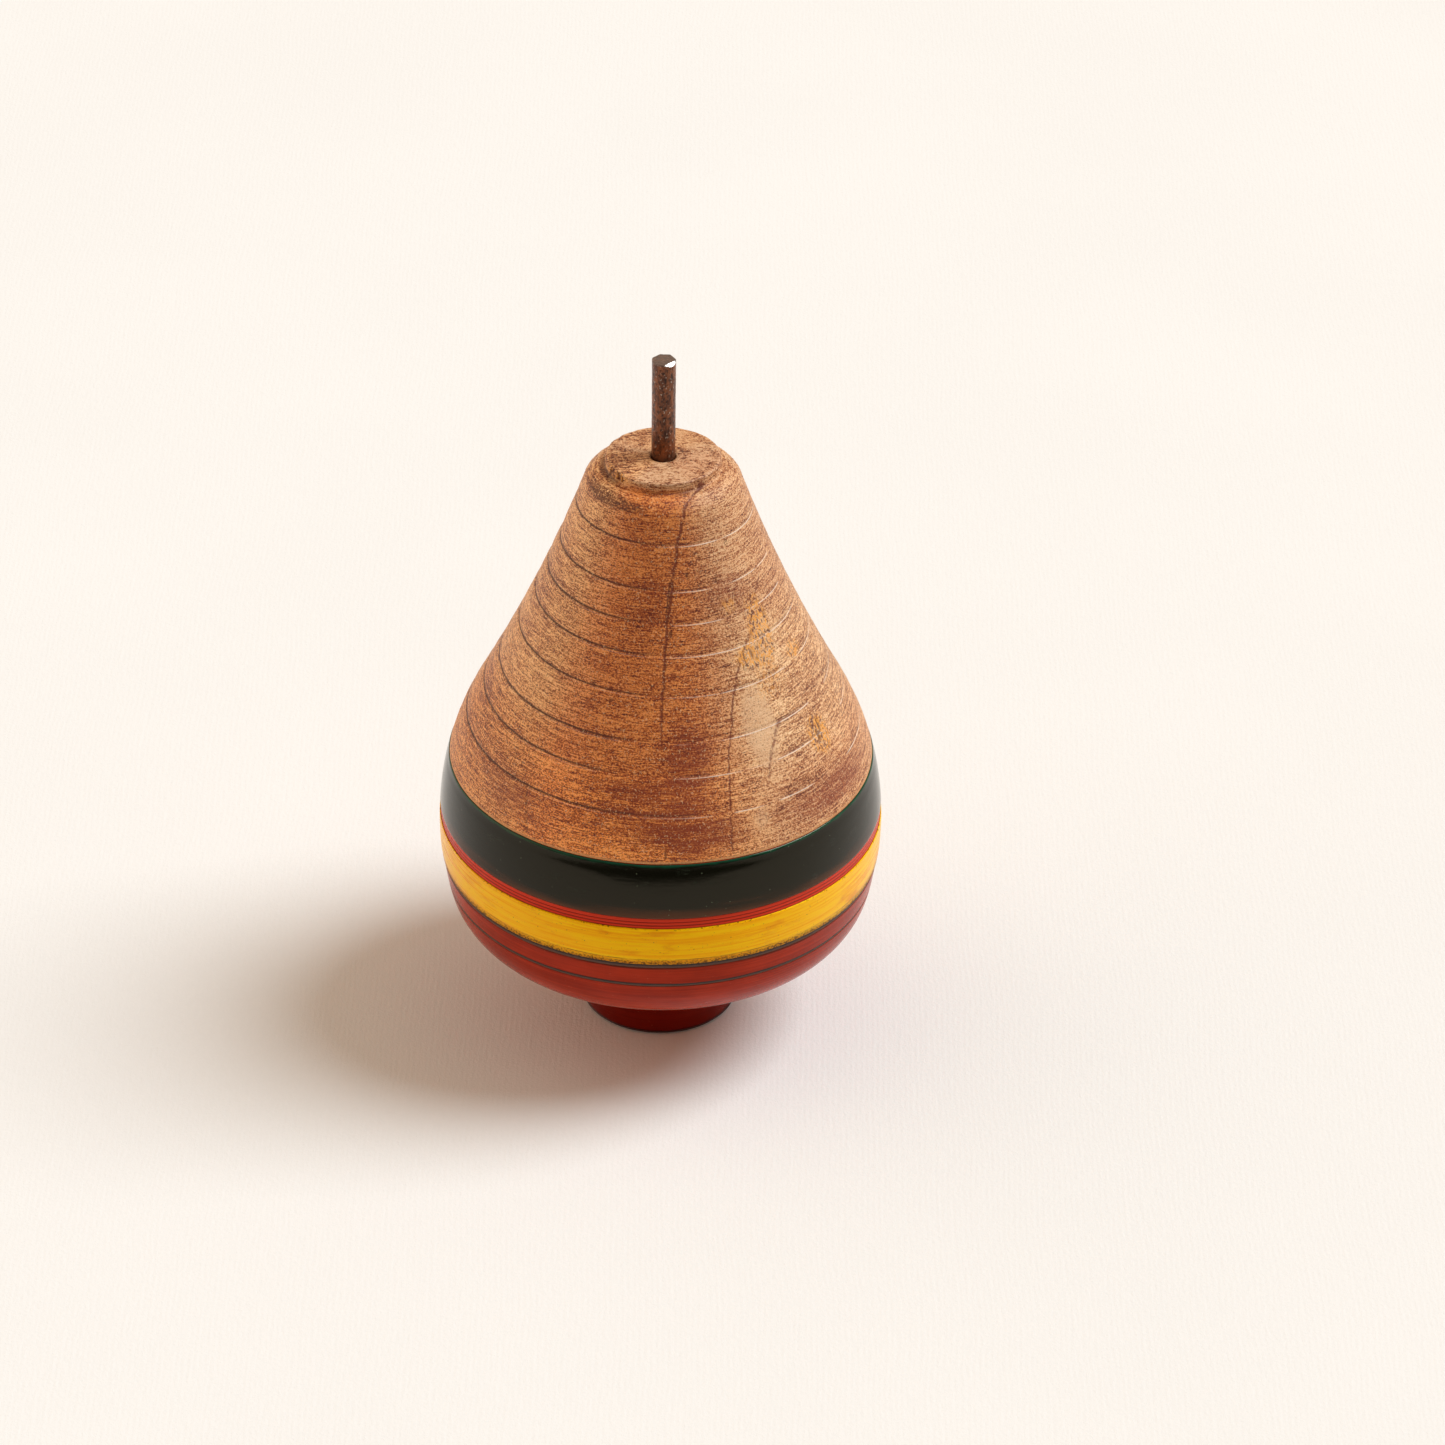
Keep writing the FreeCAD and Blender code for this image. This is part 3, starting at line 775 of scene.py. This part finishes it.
class Paint:
    """A material built up in small steps. Its places are millimetres in the part's own frame."""

    def __init__(self, name):
        self.material = bpy.data.materials.new(name)
        self.material.use_nodes = True
        self.tree = self.material.node_tree
        self.tree.nodes.clear()
        self.shader = self.node("ShaderNodeBsdfPrincipled")
        output = self.node("ShaderNodeOutputMaterial")
        self.put(self.shader.outputs["BSDF"], output.inputs["Surface"])
        coordinates = self.node("ShaderNodeTexCoord")
        scaled = self.node("ShaderNodeVectorMath", operation="SCALE")
        self.put(coordinates.outputs["Object"], scaled.inputs[0])
        preset(scaled, Scale=1.0 / MM)
        self.place = scaled.outputs[0]
        split = self.node("ShaderNodeSeparateXYZ")
        self.put(self.place, split.inputs[0])
        self.x, self.y, self.z = (Field(self, socket) for socket in split.outputs)
        self.radius = self.calc("SQRT", self.x * self.x + self.y * self.y)
        self.angle = self.calc("ARCTAN2", self.x, self.y * -1.0) * math.degrees(1.0)

    def node(self, kind, **settings):
        made = self.tree.nodes.new(kind)
        for key, value in settings.items():
            setattr(made, key, value)
        return made

    def put(self, value, socket):
        """Feeds a field, a socket or a constant into a socket."""
        if isinstance(value, Field):
            value = value.socket
        if isinstance(value, bpy.types.NodeSocket):
            self.tree.links.new(value, socket)
        else:
            socket.default_value = value

    def calc(self, operation, *values):
        made = self.node("ShaderNodeMath", operation=operation)
        for value, socket in zip(values, made.inputs):
            self.put(value, socket)
        return Field(self, made.outputs[0])

    def smooth(self, value, low, high):
        """0 at low, 1 at high, eased; low may be the larger."""
        made = self.node("ShaderNodeMapRange", interpolation_type="SMOOTHSTEP")
        for name, item in (("Value", value), ("From Min", low), ("From Max", high)):
            self.put(item, made.inputs[name])
        return Field(self, made.outputs[0])

    def near(self, value, centre, reach):
        """1 where the value is at the centre, easing to 0 at the reach."""
        return self.smooth(self.calc("ABSOLUTE", value - centre), reach, 0.0)

    def within(self, value, low, high, soft):
        return self.smooth(value, low - soft, low + soft) * self.smooth(value, high + soft, high - soft)

    def texture(self, kind, stretch, shift):
        """A texture node over stretched places; stretch is per millimetre along x, y and z."""
        spread = self.node("ShaderNodeVectorMath", operation="MULTIPLY_ADD")
        self.put(self.place, spread.inputs[0])
        spread.inputs[1].default_value = stretch
        spread.inputs[2].default_value = shift
        made = self.node(kind)
        self.put(spread.outputs[0], made.inputs["Vector"])
        preset(made, Scale=1.0)
        return made

    def noise(self, stretch, detail=2.0, roughness=0.5, shift=0.0, warp=0.0):
        """Noise from 0 to 1."""
        made = self.texture("ShaderNodeTexNoise", stretch, (shift, shift * 0.7, shift * 1.3))
        preset(made, Detail=detail, Roughness=roughness, Distortion=warp)
        return Field(self, made.outputs[0])

    def cells(self, stretch, shift):
        """Distance to the nearest of scattered points."""
        made = self.texture("ShaderNodeTexVoronoi", stretch, (shift, shift, shift))
        return Field(self, made.outputs["Distance"])

    def stored(self, name):
        made = self.node("ShaderNodeAttribute", attribute_name=name)
        return Field(self, made.outputs["Fac"])

    def mix(self, kind, first, second, factor):
        made = self.node("ShaderNodeMix", data_type="RGBA", blend_type=kind)
        for value, index in ((factor, 0), (first, 6), (second, 7)):
            self.put(value, made.inputs[index])
        self.colour = made.outputs[2]

    def coat(self, first, second, factor):
        """The first colour: one linear colour turning into another as the factor goes from 0 to 1."""
        self.mix("MIX", first, second, factor)

    def over(self, red, green, blue, factor):
        """Lays a display colour over what is there."""
        self.mix("MIX", self.colour, srgb(red, green, blue), factor)

    def tint(self, red, green, blue, factor):
        """Multiplies what is there by a colour."""
        self.mix("MULTIPLY", self.colour, (red, green, blue, 1.0), factor)

    def graded(self, value, stops):
        """The first colour: a ramp through (position, linear colour) stops."""
        made = self.node("ShaderNodeValToRGB")
        band = made.color_ramp
        while len(band.elements) < len(stops):
            band.elements.new(0.5)
        for element, (position, colour) in zip(band.elements, stops):
            element.position = position
            element.color = colour
        self.put(value, made.inputs[0])
        self.colour = made.outputs[0]

    def relief(self, height, distance):
        """Bump from a height field, `distance` millimetres deep."""
        made = self.node("ShaderNodeBump")
        preset(made, Distance=distance * MM)
        self.put(height, made.inputs["Height"])
        self.put(made.outputs[0], self.shader.inputs["Normal"])

    def shade(self, **sockets):
        """Sets the shader's sockets, the colour among them, and gives back the finished material."""
        self.put(self.colour, self.shader.inputs["Base Color"])
        for name, value in sockets.items():
            self.put(value, self.shader.inputs[name.replace("_", " ")])
        return self.material


def wood_paint():
    """Bare turned wood: growth lines about the pith, tool streaks, open pores, stains and wear, and
    painted light and shade.
    """
    p = Paint("bare_turned_wood")
    hollow, ring, pale, ruddy, stain = map(p.stored, ("hollow", "ring", "pale", "ruddy", "stain"))
    torn = p.smooth(p.stored("torn"), 0.15, 0.75)
    end_face = p.smooth(p.z, BODY_TOP - 0.5, BODY_TOP - 0.25)

    hold = p.smooth(p.z, *TILT_LOW) * p.smooth(p.z, *TILT_HIGH)
    level = p.z + hold * p.calc("SINE", p.angle * math.radians(1)) * RING_TILT
    # Painted shade and highlights on the tool rings: dark in the grooves, strongest on the left away from
    # the key light, and thin light lines on their edges on the right, where the key light catches them.
    shaded_left = p.smooth(p.angle, 24, -46) * 0.85 + 0.15
    lit_right = p.smooth(p.angle, 0, 28) * p.smooth(p.angle, 110, 70)
    broken = p.noise((0.16, 0.16, 0.05), detail=3, shift=47)
    ring_shade = sum(p.near(level, height, half * 0.75) for height, _, half in TOOL_RINGS[1:])
    ring_highlight = sum(p.near(level, height - half, half * 0.42) for height, _, half in TOOL_RINGS[1:])
    ring_shade = ring_shade * p.smooth(broken + shaded_left * 0.3, 0.44, 0.7)
    ring_highlight = ring_highlight * p.smooth(broken, 0.36, 0.52)

    speckle = p.noise((3.6, 3.6, 5.6), detail=3, roughness=0.74)
    fleck = p.noise((5.2, 5.2, 8), detail=1, shift=9)
    streak = p.noise((0.1, 0.1, 2.1), detail=5, roughness=0.74, shift=3)
    fine_streak = p.noise((0.5, 0.5, 7.5), detail=3, roughness=0.65, shift=5)
    drift = p.noise((0.07, 0.07, 0.1), detail=3, roughness=0.6, shift=14)
    fibre = p.noise((1.5, 1.5, 0.35), shift=21)

    pith_x = p.x - PITH[0]
    pith_y = p.y - PITH[1]
    wander = p.noise((0.16, 0.16, 0.45), detail=3, roughness=0.65, shift=27)
    growth = p.calc("SQRT", pith_x * pith_x + pith_y * pith_y) + (wander - 0.5) * 0.9
    ragged = p.noise((1.6, 1.6, 0.9), detail=3, shift=33)
    near_side = p.smooth(p.angle, 50, 44) * p.smooth(p.angle, -120, -90)
    first = p.near(growth, 28.3, 0.34) * p.smooth(p.z, 50, 60) * near_side
    second = p.near(growth, 19.4, 0.26) * near_side * 0.75
    third = p.near(growth, 14.2, 0.32) * p.within(p.z, 48, 58, 1.5) * near_side * 0.6
    hidden = (p.near(growth, 52, 0.32) + p.near(growth, 57.5, 0.28) + p.near(growth, 46, 0.3)) * 0.7
    hidden = hidden * p.smooth(p.y, 2, 8)
    rising = p.near(p.z - (p.angle - 41) * 0.2, 67.2, 0.34) * p.within(p.angle, 44, 64, 5) * 0.6
    lines = (first + second + third + rising + hidden) * p.smooth(ragged, 0.26, 0.5)
    lines = lines * (1 - p.smooth(p.z, BODY_TOP - 1.2, BODY_TOP - 0.2) * 0.75)

    tone = (speckle - 0.5) * 2.9 + (streak - 0.5) * 1.1 + (fine_streak - 0.5) * 2
    tone = tone + (drift - 0.5) * 0.45 + (fleck - 0.5) * 0.8 + 0.43
    # ring darkens the tone in the tool rings' grooves: painted shade.
    tone = tone + ruddy * 0.2 - pale * 0.24 + ring * 0.1 + stain * 0.25
    concentric = p.calc("SINE", p.radius * 7.5 + (drift - 0.5) * 14)
    end_grain = p.noise((1, 6.4, 1), detail=3, roughness=0.6, shift=70, warp=0.8)
    tone = tone - end_face * (0.04 - (end_grain - 0.5) * 3.2) + end_face * concentric * 0.04
    p.graded(tone, [
        (0.08, srgb(238, 196, 150)),
        (0.34, srgb(214, 158, 108)),
        (0.54, srgb(181, 116, 70)),
        (0.74, srgb(138, 74, 40)),
        (0.96, srgb(84, 38, 20)),
    ])
    p.tint(0.88, 0.84, 0.88, end_face)
    # Painted light and shade by side: the front facing the camera is darkened and deepened to orange, and
    # lighter again low down. The left is lightened. The right is lightened and cooled as if lit by the key
    # light, then toned down above and below.
    centre = p.within(p.angle, -36, 24, 16) * p.smooth(p.z, BODY_TOP - 0.5, BODY_TOP - 1.5)
    p.tint(1.02, 0.6, 0.28, centre)
    p.tint(1.34, 1.46, 1.36, centre * p.smooth(p.z, 54, 46))
    left_light_zone = p.within(p.angle, -100, -30, 10)
    p.tint(1.18, 1.1, 0.9, left_light_zone)
    p.tint(1, 0.84, 0.64, left_light_zone * p.smooth(p.z, 58, 50))
    back_side = p.smooth(p.calc("ABSOLUTE", p.angle), 100, 140)
    p.tint(0.96, 0.86, 0.72, back_side)
    right_light_zone = p.within(p.angle, 30, 100, 12)
    p.tint(1.12, 1.15, 1.15, right_light_zone)
    p.tint(0.88, 0.78, 0.74, right_light_zone * p.smooth(p.z, 62, 70))
    p.tint(0.92, 0.8, 0.74, right_light_zone * p.smooth(p.z, 52, 46))
    p.over(142, 58, 26, p.smooth(ruddy, 0.1, 1.1) * (0.35 + p.smooth(streak, 0.4, 0.6) * 0.5))
    p.over(224, 178, 136, p.smooth(pale, 0.5, 1.1) * (0.25 + p.smooth(speckle, 0.58, 0.42) * 0.6))
    # Painted shade in the rings' grooves, then painted highlights along their edges.
    p.over(74, 32, 14, p.smooth(ring_shade, 0, 0.8) * (0.3 + shaded_left * 0.6))
    p.over(246, 222, 200, p.smooth(ring_highlight, 0.1, 0.9) * (lit_right * 0.75 + 0.15))
    p.over(112, 42, 16, p.smooth(lines, 0.05, 0.8) * 0.85)
    dash = p.noise((2.6, 2.6, 1.3), roughness=0.6, shift=61, warp=0.5)
    p.over(238, 160, 62, torn * p.smooth(dash, 0.46, 0.58) * 0.9)
    p.over(96, 38, 10, torn * p.smooth(dash, 0.45, 0.37) * 0.9)
    frayed = p.noise((4.6, 4.6, 3), detail=1, shift=66)
    # The cream flecks are painted highlights on the raised fibres. The dark flecks are the fibres' own
    # colour.
    p.over(240, 200, 152, p.smooth(frayed, 0.62, 0.72) * 0.55)
    p.over(96, 40, 18, p.smooth(frayed, 0.36, 0.27) * 0.6)
    pores = p.smooth(p.cells((1.5, 1.5, 0.85), shift=4), 0.13, 0.06)
    pores = pores * p.smooth(fibre, 0.5, 0.66) * (1 - end_face)
    p.over(66, 30, 16, pores * 0.75)
    p.over(92, 52, 28, p.smooth(stain, 0.15, 1) * p.smooth(speckle, 0.3, 0.55) * 0.7)
    # Painted shade in the pits and cracks.
    p.over(92, 42, 18, p.smooth(hollow, 0.25, 0.95) * 0.75)
    # Painted shadow in the corner at the foot of the worn boss.
    boss_foot_shade = p.near(p.z, BODY_TOP - 1.45, 0.38) * p.smooth(p.radius, 8.6, 8.2)
    boss_foot_shade = boss_foot_shade * p.smooth(drift, 0.36, 0.5)
    p.over(66, 30, 16, boss_foot_shade * 0.75)
    p.over(74, 16, 10, p.smooth(p.z, 0.9, 0.6) * p.smooth(p.radius, 9, 9.9))
    lip = p.within(p.z, GREEN_HIGH - 0.3, GREEN_HIGH + 0.35, 0.12)
    p.over(214, 152, 96, lip * 0.7)
    green_stain = p.near(p.angle, 43.7, 3) * p.near(p.z, 77.5, 0.8) * p.smooth(speckle, 0.45, 0.6)
    p.over(84, 82, 54, green_stain * 0.7)

    height = speckle * 0.7 + fine_streak * 0.7 + fleck * 0.3 + frayed * 0.5
    p.relief(height - pores * 0.8 - lines * 0.3 - ring_shade * 0.5, 0.09)
    gloss = 0.5 + (speckle - 0.5) * 0.3 + ruddy * -0.06
    return p.shade(Roughness=gloss, IOR=1.45)


def scuffs(p):
    """Sparse fine scratches and specks that every coat of lac has picked up."""
    specks = p.smooth(p.cells((0.75, 0.75, 0.75), shift=2), 0.075, 0.035)
    scratch = p.noise((1.1, 1.1, 7.5), detail=1, shift=44, warp=1.2)
    scratch = p.near(scratch, 0.5, 0.012) * p.smooth(p.noise((0.3, 0.3, 0.4), shift=50), 0.6, 0.7)
    return specks, scratch


def green_paint():
    """Nearly black green lac: bottle green where it thins out on the wood, with a painted brown sheen low
    down.
    """
    p = Paint("green_black_lac")
    specks, scratch = scuffs(p)
    cast = p.noise((0.09, 0.09, 0.8), detail=3, shift=6)
    p.coat(srgb(2, 8, 3), srgb(12, 12, 5), cast)
    ragged = (p.noise((0.5, 0.5, 1), shift=8) - 0.5) * 0.5
    thin_top = p.smooth(p.z + ragged, GREEN_HIGH - 0.55, GREEN_HIGH - 0.15)
    p.over(10, 74, 52, thin_top * 0.8)
    # Painted warm brown sheen along the band's lower part, standing in for the floor's reflection.
    foot_sheen = p.smooth(p.z - (cast - 0.5) * 2.6, GREEN_LOW + 2, GREEN_LOW - 0.6)
    p.over(88, 44, 20, foot_sheen * 0.9)
    p.over(108, 122, 98, specks * 0.6)
    p.over(52, 84, 64, scratch * 0.6)
    settled = p.noise((0.3, 0.3, 0.9), shift=12)
    p.relief(settled * 0.8 + scratch * -0.25 + specks * 0.4, 0.02)
    return p.shade(Roughness=0.1 + scratch * 0.3 + cast * 0.08, IOR=1.36, Specular_Tint=(1, 0.88, 0.68, 1))


def red_paint():
    """Red lac with the turning's fine rings in it, darker where it has built up or been handled and
    towards the bottom, with painted shade on the crown.
    """
    p = Paint("red_lac")
    specks, scratch = scuffs(p)
    rings = p.noise((0.05, 0.05, 3.2), detail=4, roughness=0.7, shift=17)
    patch = p.noise((0.12, 0.12, 0.25), detail=3, shift=19)
    p.coat(srgb(138, 34, 16), srgb(178, 52, 28), p.smooth(rings * 0.6 + patch * 0.4, 0.34, 0.66))
    # Painted shade on the crown, which is the dome's own lac in the shadow underneath. The dome is also
    # deeper and darker towards the bottom.
    crown = p.smooth(p.z, CROWN_TOP + 0.5, CROWN_TOP - 0.5)
    p.tint(1, 0.86, 0.6, p.smooth(p.z, 19, 12))
    p.over(100, 12, 9, crown * 0.8)
    middle = (YELLOW_HIGH + GREEN_LOW) / 2
    scribed = p.near(p.z, middle - 0.32, 0.15) + p.near(p.z, middle + 0.16, 0.12)
    on_ring = p.within(p.z, YELLOW_HIGH, GREEN_LOW, 0.1)
    p.over(218, 62, 40, on_ring * 0.85)
    p.over(92, 16, 12, scribed * on_ring * 0.8)
    edge = p.near(p.z, GREEN_LOW, 0.16) + p.near(p.z, YELLOW_HIGH, 0.14)
    p.over(70, 18, 12, edge * 0.55)
    grime = p.near(p.z, UPPER_LOW - 0.1, 0.3) + p.near(p.z, LOWER_HIGH + 0.08, 0.18)
    p.over(84, 32, 20, p.smooth(grime, 0.1, 1) * p.smooth(patch, 0.35, 0.6) * 0.8)
    p.over(206, 108, 84, specks * 0.35)
    p.over(186, 84, 64, scratch * 0.5)
    p.relief(rings * 0.5 + patch * 0.6 - scratch * 0.3, 0.022)
    return p.shade(Roughness=0.2 + rings * 0.1 + scratch * 0.3, IOR=1.26, Specular_Tint=(1, 0.22, 0.1, 1))


def yellow_paint():
    """Yellow lac: orange drifts, dark specks and nicks, dirt in the worn lower edge."""
    p = Paint("yellow_lac")
    specks, scratch = scuffs(p)
    drift = p.noise((0.16, 0.16, 0.55), detail=4, roughness=0.6, shift=23)
    rings = p.noise((0.06, 0.06, 2.6), detail=4, roughness=0.7, shift=25)
    grit = p.noise((3.2, 3.2, 4), shift=29)
    p.coat(srgb(250, 170, 0), srgb(255, 200, 4), p.smooth(rings, 0.36, 0.62))
    p.over(226, 124, 4, p.smooth(drift, 0.54, 0.7) * 0.6)
    p.over(150, 92, 20, p.smooth(grit, 0.66, 0.74) * 0.5)
    dirty = p.smooth(p.z + (drift - 0.5) * 1.2, YELLOW_LOW + 1.15, YELLOW_LOW + 0.1)
    p.over(172, 92, 8, dirty * 0.7)
    p.over(60, 32, 10, dirty * p.smooth(grit, 0.48, 0.54) * 0.9)
    scribed = p.near(p.z, YELLOW_LOW + 0.9, 0.1) * p.smooth(drift, 0.4, 0.56)
    p.over(92, 52, 10, scribed * 0.9)
    nick_row = p.smooth(p.z, YELLOW_HIGH - 0.35, YELLOW_HIGH - 0.1) * p.smooth(grit, 0.56, 0.64)
    p.over(96, 38, 14, nick_row * 0.7)
    p.over(110, 64, 18, specks * 0.75)
    p.over(246, 206, 70, scratch * 0.5)
    p.relief(rings * 0.5 + drift * 0.6 - specks * 0.5 - scratch * 0.3 - grit * 0.15, 0.024)
    return p.shade(Roughness=0.22 + rings * 0.12 + dirty * 0.2, IOR=1.4, Specular_Tint=(1, 0.55, 0.06, 1))


def line_paint(name, low, high):
    """Dark lac in a groove, with painted shade and light: black under its upper edge, lit grey brown with
    lighter flecks below.
    """
    p = Paint(name)
    specks, scratch = scuffs(p)
    share = (p.z - low) / (high - low)
    dust_and_light = p.noise((0.7, 0.7, 2), detail=4, roughness=0.7, shift=37)
    # Painted shade and light across the groove: black under the upper edge, lighter grey brown on the
    # lower wall that faces the light. The lighter flecks there are dust and painted light.
    p.coat(srgb(92, 60, 46), srgb(30, 15, 10), p.smooth(share + (dust_and_light - 0.5) * 0.5, 0.4, 0.66))
    p.over(128, 98, 78, p.smooth(dust_and_light, 0.56, 0.74) * p.smooth(share, 0.7, 0.2) * 0.7)
    p.over(120, 86, 66, specks * 0.5)
    p.relief(dust_and_light * 0.7 - scratch * 0.3, 0.03)
    return p.shade(Roughness=0.34 + dust_and_light * 0.25, IOR=1.36)


def peg_paint():
    """Wire nail: brown patina, pitted and rubbed bright in spots, bright with a painted highlight on the
    filed flat that faces the key light.
    """
    p = Paint("patinated_steel")
    filed = p.stored("filed")
    pitted = p.stored("pitted")
    rust = p.noise((1.2, 1.2, 0.5), detail=4, roughness=0.6, shift=31)
    grain = p.noise((5, 5, 1.6), detail=3, roughness=0.6, shift=35)
    rubbed = p.noise((3, 3, 2), shift=39)
    p.coat(srgb(88, 48, 28), srgb(142, 84, 50), p.smooth(rust, 0.36, 0.64))
    p.over(44, 26, 20, p.smooth(grain, 0.54, 0.7) * 0.7)
    p.over(28, 17, 13, pitted * 0.7)
    bare = p.smooth(rubbed, 0.62, 0.7) * (1 - pitted)
    p.over(196, 182, 168, bare * 0.65)
    end_face = p.smooth(p.z, PEG_TIP - 0.35, PEG_TIP - 0.15)
    p.over(122, 108, 98, end_face * (0.4 + grain * 0.5))
    # Bare filed steel with a painted highlight: only the flat facing the key light reaches this.
    bright = p.smooth(filed, 0.7, 0.95)
    p.over(222, 218, 214, bright)
    foot = p.smooth(p.z, BODY_TOP + 1.6, BODY_TOP)
    p.over(62, 32, 20, foot * 0.6)
    p.relief(rust * 0.5 + grain * 0.7 + rubbed * 1.1, 0.1)
    return p.shade(Metallic=0.45 + bright * 0.5, Roughness=0.27 + rust * 0.12 - bright * 0.05)


def cloth_paint():
    """Pale cotton with a faint rib, plain enough to leave the top to itself."""
    p = Paint("pale_cloth")
    bend = (p.noise((0.03, 0.03, 0.03), shift=2) - 0.5) * 3
    rib = p.calc("SINE", (p.x + bend) * (2 * math.pi / RIB_SPACING))
    slub = p.noise((1.4, 0.35, 1), detail=3, roughness=0.6, shift=7)
    weave = p.noise((2.4, 2.2, 1), roughness=0.7, shift=8)
    soft = p.noise((0.02, 0.02, 0.02), shift=9)
    p.coat(CLOTH_LOW, CLOTH_HIGH, p.smooth(soft * 0.4 + slub * 0.3 + weave * 0.3, 0.35, 0.65))
    p.relief(rib * 0.035 + slub * 0.3 + weave * 0.6, 0.09)
    return p.shade(Roughness=0.95, Specular_IOR_Level=0.1)


# ---- stage, light and camera


def make_floor():
    """The cloth that the top stands on; it ends in front, below the camera's view."""
    left, front, right, back = (edge * MM for edge in (-FLOOR_SIDE, FLOOR_FRONT, FLOOR_SIDE, FLOOR_BACK))
    corners = [(left, front, 0.0), (right, front, 0.0), (right, back, 0.0), (left, back, 0.0)]
    mesh = bpy.data.meshes.new("cloth")
    mesh.from_pydata(corners, [], [(0, 1, 2, 3)])
    floor = placed("cloth", mesh)
    mesh.materials.append(cloth_paint())


def make_sun():
    """The key light, a broad sun; its azimuth goes from the front towards the right."""
    turn = math.radians(SUN_AZIMUTH)
    lift = math.radians(SUN_ELEVATION)
    towards = Vector((math.sin(turn) * math.cos(lift), -math.cos(turn) * math.cos(lift), math.sin(lift)))
    lamp = bpy.data.lights.new("key", "SUN")
    lamp.angle = math.radians(SUN_SPREAD)
    lamp.energy = SUN_STRENGTH
    lamp.color = SUN_COLOUR
    placed("key", lamp).rotation_euler = towards.to_track_quat("Z", "Y").to_euler()


def ease(tree, socket, first, last, low=0.0, high=1.0):
    """A world node that eases from low to high as a socket goes from first to last."""
    made = tree.nodes.new("ShaderNodeMapRange")
    made.interpolation_type = "SMOOTHSTEP"
    tree.links.new(socket, made.inputs["Value"])
    preset(made, From_Min=first, From_Max=last, To_Min=low, To_Max=high)
    return made.outputs[0]


def combine(tree, operation, first, second):
    made = tree.nodes.new("ShaderNodeMath")
    made.operation = operation
    tree.links.new(first, made.inputs[0])
    tree.links.new(second, made.inputs[1])
    return made.outputs[0]


def make_world():
    """A soft warm studio: brightest from the left and low down behind, dim in front and below."""
    world = bpy.data.worlds.new("studio")
    bpy.context.scene.world = world
    world.use_nodes = True
    tree = world.node_tree
    tree.nodes.clear()
    new = tree.nodes.new
    link = tree.links.new
    output = new("ShaderNodeOutputWorld")
    background = new("ShaderNodeBackground")
    coordinates = new("ShaderNodeTexCoord")
    split = new("ShaderNodeSeparateXYZ")
    link(coordinates.outputs["Generated"], split.inputs[0])
    across, along, height = split.outputs
    behind = ease(tree, along, -0.6, 0.0)
    low_glow = ease(tree, height, 0.3, 0.0, 1.0, LOW_GAIN)
    rear = combine(tree, "MULTIPLY", behind, low_glow)
    front = ease(tree, along, -0.6, 0.0, 0.45, 0.0)
    facing = combine(tree, "MULTIPLY", front, ease(tree, height, -0.05, 0.42))
    level = combine(tree, "ADD", rear, facing)
    ramp = new("ShaderNodeValToRGB")
    ramp.color_ramp.elements[0].color = WORLD_DIM
    ramp.color_ramp.elements[1].color = WORLD_WARM
    link(level, ramp.inputs[0])
    link(ramp.outputs[0], background.inputs["Color"])
    left = ease(tree, across, -0.25, -0.95, WORLD_STRENGTH, WORLD_STRENGTH * LEFT_GAIN)
    link(combine(tree, "MULTIPLY", left, low_glow), background.inputs["Strength"])
    link(background.outputs[0], output.inputs["Surface"])


def make_camera():
    """The photograph's viewpoint: 32 degrees up, just right of the axis, rolled under a degree."""
    lift = math.radians(CAMERA_ELEVATION)
    roll = math.radians(CAMERA_ROLL)
    right = Vector((1.0, 0.0, 0.0))
    up = Vector((0.0, math.sin(lift), math.cos(lift)))
    back = Vector((0.0, -math.cos(lift), math.sin(lift)))
    level = right * math.cos(roll) - up * math.sin(roll)
    upright = right * math.sin(roll) + up * math.cos(roll)
    target = Vector((0.0, 0.0, CAMERA_TARGET))
    place = (right * CAMERA_RIGHT + up * CAMERA_UP + back * CAMERA_DISTANCE + target) * MM
    data = bpy.data.cameras.new("photo_view")
    data.lens = CAMERA_LENS
    data.sensor_width = SENSOR_WIDTH
    data.dof.use_dof = False
    data.clip_start = 0.01
    data.clip_end = 20.0
    camera = placed("photo_view", data)
    camera.matrix_world = Matrix((
        (level.x, upright.x, back.x, place.x),
        (level.y, upright.y, back.y, place.y),
        (level.z, upright.z, back.z, place.z),
        (0.0, 0.0, 0.0, 1.0),
    ))
    bpy.context.scene.camera = camera


# ---- assembly


def fit(piece, node, material):
    piece.data.materials.append(material)
    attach(piece, "root")
    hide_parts(node)


fit(make_wood(), "wood_body", wood_paint())
fit(make_peg(), "steel_peg", peg_paint())
fit(make_red(), "red_base_lacquer", red_paint())
fit(make_green(), "green_lacquer_band", green_paint())
fit(make_yellow(), "yellow_lacquer_band", yellow_paint())
for side, low, high, seed in (("upper", UPPER_LOW, UPPER_HIGH, 81), ("lower", LOWER_LOW, LOWER_HIGH, 85)):
    line = make_line(side + "_dark_line_lac", low, high, seed)
    fit(line, side + "_dark_line", line_paint(side + "_dark_lac", low, high))

make_floor()
make_world()
make_sun()
make_camera()
bpy.context.scene.view_settings.view_transform = "Standard"
